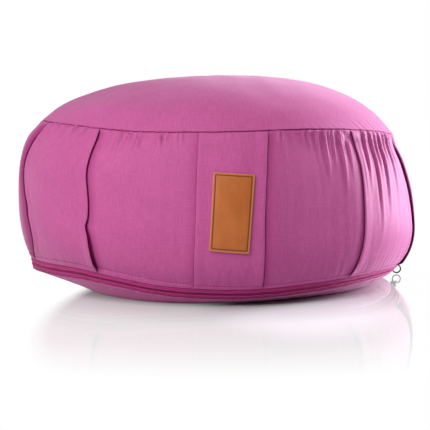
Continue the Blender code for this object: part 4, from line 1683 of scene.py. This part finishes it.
@dataclass
class ZipTrim:
    """The zip in its channel: two woven tapes with a corded inner edge, and the coil between.

    Attributes:
        outline: The cover's outline, which holds the channel.
        step: The azimuth from one section of a tape to the next.
        tape_radius: The radius at which the tapes' length is measured.
        waver: How far a tape's edges wander.
        ripple: How far its face waves.
        coil_radius: The radius at which the coil's turns are spaced.
        coil_short: How much shorter the coil is at its start and at its end, in degrees.
        tooth_pitch: The distance between two turns on one side.
        tooth: One turn.
        tooth_reach: How far each turn's middle lies from the zip's middle.
        chain_level: How far off the channel's face the coil lies.
        section: A tape's section, as places across and out, in millimetres.
    """

    outline: StuffedOutline
    step: float = 0.4
    tape_radius: float = 0.159
    waver: float = 0.16 * MM
    ripple: float = 0.14 * MM
    coil_radius: float = 0.158
    coil_short: Pair = (1.0, 1.5)
    tooth_pitch: float = 1.25 * MM
    tooth: ThreadRow = ThreadRow(1.45 * MM, 0.80 * MM, 0.12 * MM)
    tooth_reach: float = 0.28 * MM
    chain_level: float = -0.45 * MM
    section: Rows = (
        (1.05, -1.10), (1.05, -0.25), (1.12, 0.12), (1.38, 0.36), (1.72, 0.40), (2.05, 0.22),
        (2.30, -0.12), (2.60, -0.22), (2.90, -0.10), (3.20, 0.10), (3.50, 0.06), (3.85, -0.30),
        (4.20, -0.85), (4.35, -1.10),
    )

    def build_tape(self, name: str, side: float, finish: Material) -> Piece:
        """Make one tape.

        Args:
            name: The object's name.
            side: -1 for the tape above the coil, 1 for the one below.
            finish: The tape's material.

        Returns:
            The mesh object.
        """
        draft = MeshDraft()
        start, end = self.outline.zip_start, self.outline.zip_end
        azimuth = np.linspace(start, end, int((end - start) / self.step))
        along = np.radians(azimuth) * self.tape_radius
        waver = Relief(16.0 * MM, 1.0, self.waver, 11 + int(side)).at(along)
        ripple = Relief(9.0 * MM, 1.0, self.ripple, 15 + int(side)).at(along)
        count = len(azimuth)
        (inner, buried), (outer, _) = self.section[0], self.section[-1]
        steps = [math.dist(a, b) for a, b in zip(self.section, self.section[1:])]
        starts = []
        for (across, out), far in zip(self.section, np.cumsum([0.0, *steps])):
            free = smooth_step(buried, 0.0, out)
            at = np.clip(across * MM + waver * free, inner * MM, outer * MM) * side
            line = place(azimuth, *self.outline.channel(azimuth, at, out * MM + ripple * free))
            starts.append(draft.row(line, np.stack([along, np.full(count, far * MM)], -1)))
        for number, first in enumerate(starts):
            draft.strip(first, starts[(number + 1) % len(starts)], count, closed=False)
        draft.faces.append(tuple(starts))
        draft.faces.append(tuple(first + count - 1 for first in reversed(starts)))
        return draft.build_outward(name, finish)

    def build_chain(self, finish: Material) -> Piece:
        """Make the closed coil: turns that reach in from both tapes in alternation.

        Args:
            finish: The coil's material.

        Returns:
            The mesh object.
        """
        start = self.outline.zip_start + self.coil_short[0]
        end = self.outline.zip_end - self.coil_short[1]
        count = int(math.radians(end - start) * self.coil_radius / self.tooth_pitch) * 2
        azimuth = np.linspace(start, end, count)
        side = np.where(np.arange(count) % 2 == 0, -1.0, 1.0)
        at = side * self.tooth_reach
        centres = place(azimuth, *self.outline.channel(azimuth, at, self.chain_level))
        outer = place(azimuth, *self.outline.channel(azimuth, at + 1.0 * MM, self.chain_level))
        higher = place(azimuth, *self.outline.channel(azimuth, at, self.chain_level + 1.0 * MM))
        return self.tooth.build("zip_coil", centres, unit(outer - centres), unit(higher - centres), finish)


@dataclass
class ZipPull:
    """The slider on the zip, with its bridge, and the wire ring that hangs in it."""

    outline: StuffedOutline
    azimuth: float = 91.5
    body_out: float = 0.8 * MM
    length: float = 9.0 * MM
    width: float = 6.2 * MM
    thickness: float = 1.8 * MM
    bridge_opening: float = 2.0 * MM
    bridge_half_span: float = 2.6 * MM
    bridge_wire: float = 0.6 * MM
    bridge_sunk: float = 0.4 * MM
    ring_radius: float = 3.5 * MM
    ring_wire: float = 0.6 * MM
    ring_swing: float = 26.0
    corners: Rows = ((-0.50, 0.30), (-0.40, 0.44), (-0.05, 0.50), (0.20, 0.44), (0.40, 0.31), (0.50, 0.20))
    edges: Rows = ((0.35, -0.5), (0.1, -0.46), (0.0, -0.3), (0.0, 0.26), (0.1, 0.42), (0.4, 0.5))

    def frame(self, out: float) -> Array:
        """The zip's frame at the slider: X back along it, Y down across it, Z off the cloth.

        Args:
            out: How far off the channel's face its origin lies.

        Returns:
            A matrix of 4 by 4.
        """
        origin = place(np.array(self.azimuth), *self.outline.channel(self.azimuth, 0.0, out))
        down = place(np.array(self.azimuth), *self.outline.channel(self.azimuth, 1.0 * MM, out)) - origin
        along = place(np.array(self.azimuth - 90.0), 1.0, 0.0)
        made = np.eye(4)
        made[:3, 0], made[:3, 1] = along, unit(down)
        made[:3, 2] = np.cross(along, unit(down))
        made[:3, 3] = origin
        return made

    def build_slider(self, finish: Material) -> Piece:
        """Make the slider's body with rounded edges, and its bridge.

        Args:
            finish: The metal.

        Returns:
            The mesh object.
        """
        draft = MeshDraft()
        half = [(x * self.length, y * self.width) for x, y in self.corners]
        loop = np.array(half + [(x, -y) for x, y in reversed(half)])
        rings = []
        for inset, level in self.edges:
            size = np.array([1.0 - 2.0 * inset * MM / self.length, 1.0 - 2.0 * inset * MM / self.width])
            flat = loop * size
            rings.append(np.column_stack([flat, np.full(len(flat), level * self.thickness)]))
        draft.tube(np.array(rings), False)
        foot = self.thickness / 2.0 - self.bridge_sunk
        rise = self.bridge_sunk + self.bridge_opening + self.bridge_wire
        turn = np.linspace(0.0, math.tau, 12, endpoint=False)
        arc = [math.pi * share for share in np.linspace(0.0, 1.0, 23)]
        middles = np.array(
            [(-math.cos(t) * self.bridge_half_span, 0.0, foot + rise * math.sin(t) ** 0.6) for t in arc]
        )
        beside = (0.0, 1.0, 0.0)
        rings = []
        for at, way in zip(middles, unit(np.gradient(middles, axis=0))):
            section = np.outer(np.cos(turn), beside) + np.outer(np.sin(turn), np.cross(way, beside))
            rings.append(at + self.bridge_wire * section)
        draft.tube(np.array(rings), False)
        middle = self.frame(self.body_out + self.thickness / 2.0)
        return self.placed(draft, "zip_slider_body", middle, finish)

    def build_ring(self, finish: Material) -> Piece:
        """Make the wire ring.

        Args:
            finish: The metal.

        Returns:
            The mesh object.
        """
        draft = MeshDraft()
        swing = math.radians(self.ring_swing)
        hang = self.ring_radius * np.array((0.0, math.sin(swing), math.cos(swing)))
        middle = hang + np.array((0.0, 0.0, self.bridge_opening / 2.0))
        minor = np.linspace(0.0, math.tau, 14, endpoint=False)
        rings = []
        for turn in np.linspace(0.0, math.tau, 72, endpoint=False):
            spoke = np.array((0.0, math.sin(turn), math.cos(turn)))
            section = np.outer(np.cos(minor), spoke) + np.outer(np.sin(minor), (1.0, 0.0, 0.0))
            rings.append(middle + spoke * self.ring_radius + section * self.ring_wire)
        draft.tube(np.array(rings), True)
        return self.placed(draft, "wire_ring", self.frame(self.body_out + self.thickness), finish)

    def placed(self, draft: MeshDraft, name: str, frame: Array, finish: Material) -> Piece:
        """Make a drafted piece with its points moved into a frame."""
        draft.points = [rows @ frame[:3, :3].T + frame[:3, 3] for rows in draft.points]
        return draft.build_outward(name, finish)


@dataclass
class LeatherPatch:
    """The blank leather patch on the front strip, with a pressed groove and its stitches."""

    cover: PleatedCover
    width: float = 29.4 * MM
    length: float = 56.2 * MM
    taper: float = 0.04
    thickness: float = 1.5 * MM
    azimuth: float = 3.6
    height: float = 70.6 * MM
    tilt: float = 4.2
    corner: float = 0.8 * MM
    edge_round: float = 0.35 * MM
    groove_inset: float = 1.75 * MM
    groove_width: float = 0.42 * MM
    groove_depth: float = 0.32 * MM
    stitch_pitch: float = 2.1 * MM
    rim_width: float = 1.3 * MM
    sunk: float = 0.3 * MM
    edge_lines: tuple[float, ...] = (0.0, 0.08, 0.2, 0.35, 0.8, 1.2, 1.45, 1.6, 1.75, 1.9, 2.05, 2.3, 2.8)
    line_pitch: float = 1.1 * MM
    row: ThreadRow = ThreadRow(1.4 * MM, 0.40 * MM, 0.10 * MM)

    def face(self, right: Array, up: Array, off: Array) -> Array:
        """Points over the patch.

        Args:
            right: How far right of its middle each is.
            up: How far above it.
            off: How far off the cloth.

        Returns:
            The points in space.
        """
        outline = self.cover.outline
        tilt = math.radians(self.tilt)
        across = right * (1.0 + up / self.length * self.taper)
        turned_right = across * math.cos(tilt) + up * math.sin(tilt)
        turned_up = up * math.cos(tilt) - across * math.sin(tilt)
        hem = float(outline.channel(self.azimuth, -outline.channel_half, 0.0)[1])
        share = (self.height + turned_up - hem) / (float(outline.seam_height(self.azimuth)) - hem)
        azimuth = self.azimuth + np.degrees(turned_right / outline.radius(self.azimuth, share))
        return self.cover.on_cloth(azimuth, share, off)

    def lines(self, extent: float) -> Array:
        """Places of the grid's lines, closer together near the edges.

        Args:
            extent: The patch's width or length.

        Returns:
            The places from its middle.
        """
        near = np.array(self.edge_lines) * MM
        inner = extent / 2.0 - near[-1]
        middle = np.linspace(-inner, inner, int(inner * 2.0 / self.line_pitch))[1:-1]
        return np.concatenate([-extent / 2.0 + near, middle, extent / 2.0 - near[::-1]])

    def build(self, finish: Material) -> Piece:
        """Make the patch.

        Args:
            finish: The leather.

        Returns:
            The mesh object, with its point attribute rim.
        """
        draft = MeshDraft()
        xs, ys = self.lines(self.width), self.lines(self.length)
        right, up = (side.ravel() for side in np.meshgrid(xs, ys, indexing="ij"))
        deep = np.minimum(self.width / 2.0 - np.abs(right), self.length / 2.0 - np.abs(up))
        over = np.clip(1.0 - deep / self.edge_round, 0.0, 1.0)
        off = self.thickness - self.edge_round * (1.0 - np.sqrt(1.0 - over**2))
        groove = np.exp(-(((deep - self.groove_inset) / self.groove_width) ** 2))
        off += 0.12 * MM * smooth_step(self.groove_inset, 5.0 * MM, deep) - self.groove_depth * groove
        past_x = np.maximum(0.0, np.abs(right) - self.width / 2.0 + self.corner)
        past_y = np.maximum(0.0, np.abs(up) - self.length / 2.0 + self.corner)
        both = (past_x > 0.0) & (past_y > 0.0)
        pull = np.where(both, np.maximum(past_x, past_y) / np.maximum(np.hypot(past_x, past_y), 1e-9), 1.0)
        right = right - np.sign(right) * past_x * (1.0 - pull)
        up = up - np.sign(up) * past_y * (1.0 - pull)
        top = draft.row(self.face(right, up, off), np.stack([right, up], -1), groove)
        columns, rows = len(xs), len(ys)
        for i in range(columns - 1):
            for j in range(rows - 1):
                a = top + i * rows + j
                draft.faces.append((a, a + rows, a + rows + 1, a + 1))
        border = [i * rows for i in range(columns)] + [(columns - 1) * rows + j for j in range(1, rows)]
        border += [i * rows + rows - 1 for i in reversed(range(columns - 1))] + list(range(rows - 2, 0, -1))
        ring_right, ring_up = right[border], up[border]
        lower = draft.row(
            self.face(ring_right, ring_up, np.full(len(border), -self.sunk)),
            np.stack([ring_right, ring_up + 1.0 * MM], -1),
        )
        middle = draft.row(self.face(np.zeros(1), np.zeros(1), np.full(1, -1.2 * MM)), np.zeros((1, 2)))
        for step, corner in enumerate(border):
            ahead = (step + 1) % len(border)
            draft.faces.append((top + corner, top + border[ahead], lower + ahead, lower + step))
            draft.faces.append((lower + step, lower + ahead, middle))
        made = draft.build_outward("leather_patch_front", finish)
        # rim marks the cut edge for a lighter colour: partly the raw edge's own, partly a painted
        # highlight.
        rim = made.data.attributes.new("rim", "FLOAT", "POINT")
        values = np.zeros(len(made.data.vertices), np.float32)
        values[: len(deep)] = np.clip(1.0 - deep / self.rim_width, 0.0, 1.0) ** 0.7
        values[len(deep) :] = 0.6
        rim.data.foreach_set("value", values)
        return made

    def build_stitches(self, finish: Material) -> Piece:
        """Make the stitches in the groove.

        Args:
            finish: The thread's material.

        Returns:
            The mesh object.
        """
        half_x = self.width / 2.0 - self.groove_inset
        half_y = self.length / 2.0 - self.groove_inset
        spots = []
        for half, other, upright in ((half_y, half_x, True), (half_x, half_y, False)):
            count = int(half * 2.0 / self.stitch_pitch)
            for at in (np.arange(count) + 0.5) / count * 2.0 * half - half:
                for side in (-other, other):
                    spots.append((side, at, 0.0, 1.0) if upright else (at, side, 1.0, 0.0))
        right, up, way_x, way_y = np.array(spots).T
        off = np.full(len(spots), self.thickness - self.groove_depth + 0.10 * MM)
        centres = self.face(right, up, off)
        ahead = self.face(right + way_x * 0.5 * MM, up + way_y * 0.5 * MM, off)
        higher = self.face(right, up, off + 1.0 * MM)
        along, away = unit(ahead - centres), unit(higher - centres)
        return self.row.build("patch_stitches", centres, along, away, finish)


def count_triangles(thing: Piece) -> int:
    """How many triangles an object's mesh has."""
    return sum(len(face.vertices) - 2 for face in thing.data.polygons)


@dataclass(frozen=True)
class Softbox:
    """A square light: where it stands, its side, its watts, and its blue against red and green."""

    name: str
    at: Triple
    size: float
    power: float
    blue: float = 1.0


SOFTBOXES = (
    Softbox("left softbox", (-1.55, -1.05, 1.10), 1.0, 18.3),
    Softbox("overhead softbox", (-0.40, -1.10, 1.38), 0.9, 13.5),
    Softbox("right rear softbox", (1.70, 0.72, 0.46), 0.6, 75.0, 1.12),
)


@dataclass(frozen=True)
class Studio:
    """The camera at the photograph's angle, a pale floor and soft lights."""

    distance: float = 0.97
    eye_height: float = 0.152
    focal_px: float = 1121.0
    pitch: float = 5.87
    sideways: float = -0.0017
    sensor: float = 36.0
    aim: Triple = (0.0, 0.0, 0.08)
    sky_low: float = 1.0
    sky_high: float = 0.10
    flags: tuple[Triple, ...] = ((57.0, 0.0, 0.06), (-118.0, 0.2, 0.25))
    floor_bounce: Triple = (0.51, 0.45, 0.49)
    floor_white: float = 1.0
    floor_gloss: Rows = (
        (0.25, 0.96), (0.29, 0.82), (0.32, 0.58), (0.37, 0.46), (0.44, 0.28), (0.58, 0.20),
        (0.74, 0.00),
    )
    lit_span: Pair = (0.08, 0.17)
    seen_span: Pair = (0.170, 0.188)

    def add_camera(self) -> None:
        """Add the camera at the photograph's viewing angle."""
        data = bpy.data.cameras.new("photo angle")
        data.sensor_width = self.sensor
        data.lens = self.focal_px / IMAGE_SIZE * self.sensor
        data.clip_start = 0.01
        camera = bpy.data.objects.new("photo angle", data)
        camera.location = (self.sideways, -self.distance, self.eye_height)
        camera.rotation_euler = (math.radians(90.0 - self.pitch), 0.0, 0.0)
        bpy.context.scene.collection.objects.link(camera)
        bpy.context.scene.camera = camera

    def add_floor(self) -> None:
        """Add a large white floor with a faint reflection that fades away from the cushion."""
        bpy.ops.mesh.primitive_plane_add(size=12.0)
        floor = bpy.context.object
        floor.name = "floor"
        graph = Graph("white floor")
        place_on = graph.add("ShaderNodeNewGeometry").outputs["Position"]
        reach = graph.add("ShaderNodeVectorMath", operation="LENGTH")
        graph.wire(place_on, reach.inputs[0])
        away = graph.math("MULTIPLY", reach.outputs["Value"], 2.0)
        fade = graph.ramp(away, tuple((at, (k, k * 0.96, k * 0.98)) for at, k in self.floor_gloss))
        gloss = graph.add("ShaderNodeBsdfGlossy")
        gloss.inputs["Roughness"].default_value = 0.05
        graph.wire(fade, gloss.inputs["Color"])
        rest = graph.add("ShaderNodeMix", data_type="RGBA", blend_type="SUBTRACT")
        rest.inputs[0].default_value = 1.0
        graph.wire((self.floor_white, self.floor_white, self.floor_white), rest.inputs[6])
        graph.wire(fade, rest.inputs[7])
        matte = graph.add("ShaderNodeBsdfDiffuse")
        graph.wire(rest.outputs[2], matte.inputs["Color"])
        backlit = graph.add("ShaderNodeEmission")
        graph.wire(rest.outputs[2], backlit.inputs["Color"])
        glow = graph.add("ShaderNodeEmission")
        under = graph.spread_from(place_on, (0.06, -0.12, 0.0), (1.9, 1.0, 1.0))
        lit = graph.blend_over(under, self.lit_span, matte, backlit)
        near = graph.add("ShaderNodeAddShader")
        graph.wire(lit.outputs[0], near.inputs[0])
        graph.wire(gloss.outputs[0], near.inputs[1])
        aside = graph.spread_from(place_on, (0.06, -0.20, 0.0), (1.0, 0.6, 1.0))
        seen = graph.blend_over(aside, self.seen_span, near, glow)
        bounce = graph.add("ShaderNodeBsdfDiffuse")
        bounce.inputs["Color"].default_value = (*self.floor_bounce, 1.0)
        path = graph.add("ShaderNodeLightPath")
        pick = graph.add("ShaderNodeMixShader")
        graph.wire(path.outputs["Is Diffuse Ray"], pick.inputs[0])
        graph.wire(seen.outputs[0], pick.inputs[1])
        graph.wire(bounce.outputs[0], pick.inputs[2])
        output = next(node for node in graph.tree.nodes if node.type == "OUTPUT_MATERIAL")
        graph.wire(pick.outputs[0], output.inputs["Surface"])
        floor.data.materials.append(graph.material)

    def add_world(self) -> None:
        """Add a white surround, softer as light than to the eye, and dimmed by two flags."""
        world = bpy.data.worlds.new("white surround")
        bpy.context.scene.world = world
        world.use_nodes = True
        tree = world.node_tree
        background = tree.nodes["Background"]
        background.inputs["Color"].default_value = (1.0, 1.0, 1.0, 1.0)
        path = tree.nodes.new("ShaderNodeLightPath")
        level = tree.nodes.new("ShaderNodeMapRange")
        tree.links.new(path.outputs["Is Camera Ray"], level.inputs["Value"])
        level.inputs["To Max"].default_value = 1.0
        direction = tree.nodes.new("ShaderNodeTexCoord")
        parts = tree.nodes.new("ShaderNodeSeparateXYZ")
        tree.links.new(direction.outputs["Generated"], parts.inputs[0])
        dome = tree.nodes.new("ShaderNodeMapRange")
        dome.interpolation_type = "SMOOTHSTEP"
        tree.links.new(parts.outputs[2], dome.inputs["Value"])
        dome.inputs["From Min"].default_value = 0.50
        dome.inputs["To Min"].default_value = self.sky_low
        dome.inputs["To Max"].default_value = self.sky_high
        strength = dome.outputs[0]
        for azimuth, share, start in self.flags:
            facing = tree.nodes.new("ShaderNodeVectorMath")
            facing.operation = "DOT_PRODUCT"
            tree.links.new(direction.outputs["Generated"], facing.inputs[0])
            turn = math.radians(azimuth)
            facing.inputs[1].default_value = (math.sin(turn), -math.cos(turn), 0.0)
            flag = tree.nodes.new("ShaderNodeMapRange")
            flag.interpolation_type = "SMOOTHSTEP"
            tree.links.new(facing.outputs["Value"], flag.inputs["Value"])
            flag.inputs["From Min"].default_value = start
            flag.inputs["From Max"].default_value = start + 0.65
            flag.inputs["To Max"].default_value = share
            flag.inputs["To Min"].default_value = 1.0
            both = tree.nodes.new("ShaderNodeMath")
            both.operation = "MULTIPLY"
            tree.links.new(strength, both.inputs[0])
            tree.links.new(flag.outputs[0], both.inputs[1])
            strength = both.outputs[0]
        tree.links.new(strength, level.inputs["To Min"])
        tree.links.new(level.outputs[0], background.inputs["Strength"])

    def add_light(self, box: Softbox) -> None:
        """Add a softbox aimed at the cushion.

        Args:
            box: The softbox.
        """
        data = bpy.data.lights.new(box.name, "AREA")
        data.color = (1.0, 1.0, box.blue)
        data.size = box.size
        data.energy = box.power
        light = bpy.data.objects.new(box.name, data)
        light.location = box.at
        aim = Vector(self.aim) - Vector(box.at)
        light.rotation_euler = aim.to_track_quat("-Z", "Y").to_euler()
        bpy.context.scene.collection.objects.link(light)

    def build(self) -> None:
        """Set up the whole studio."""
        self.add_camera()
        self.add_floor()
        self.add_world()
        for box in SOFTBOXES:
            self.add_light(box)
        bpy.context.scene.view_settings.view_transform = "Standard"


def show(piece: Piece, slot: Slot, *nodes: str) -> None:
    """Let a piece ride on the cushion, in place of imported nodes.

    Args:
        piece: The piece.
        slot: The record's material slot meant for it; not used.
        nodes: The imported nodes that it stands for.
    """
    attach(piece, BODY)
    if nodes:
        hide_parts(*nodes)
    LOG.info("%s: %d triangles", piece.name, count_triangles(piece) if piece.type == "MESH" else 0)


def main() -> None:
    """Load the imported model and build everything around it."""
    logging.basicConfig(level=logging.INFO, format="%(name)s: %(message)s")
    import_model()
    Studio().build()
    outline = StuffedOutline()
    cotton = ClothFinish().build()
    cover = PleatedCover(outline)
    cloth = cover.build(cotton)
    show(cloth, Slot.COVER, "cushion")
    thread = PlainFinish("magenta sewing thread", (0.300, 0.022, 0.120), 0.7).build()
    show(HemStitches().build(cover, thread), Slot.COVER)
    trim = ZipTrim(outline)
    tape = TapeFinish().build()
    show(trim.build_tape("zip_tape_above", -1.0, tape), Slot.TAPE, "zip_tape_upper")
    show(trim.build_tape("zip_tape_below", 1.0, tape), Slot.TAPE, "zip_tape_lower")
    nylon = PlainFinish("crimson nylon coil", (0.300, 0.020, 0.100), 0.45).build()
    show(trim.build_chain(nylon), Slot.CHAIN, "zip_chain")
    steel = PlainFinish("dark nickel", (0.045, 0.040, 0.044), 0.30, 1.0, 0.08, specular=0.5).build()
    pull = ZipPull(outline)
    show(pull.build_slider(steel), Slot.METAL, "zip_slider")
    show(pull.build_ring(steel), Slot.METAL, "pull_ring")
    patch = LeatherPatch(cover)
    show(patch.build(LeatherFinish().build()), Slot.PATCH, "leather_patch")
    waxed = PlainFinish("brown waxed thread", (0.150, 0.040, 0.014), 0.6).build()
    show(patch.build_stitches(waxed), Slot.PATCH)


if __name__ == "__main__":
    main()
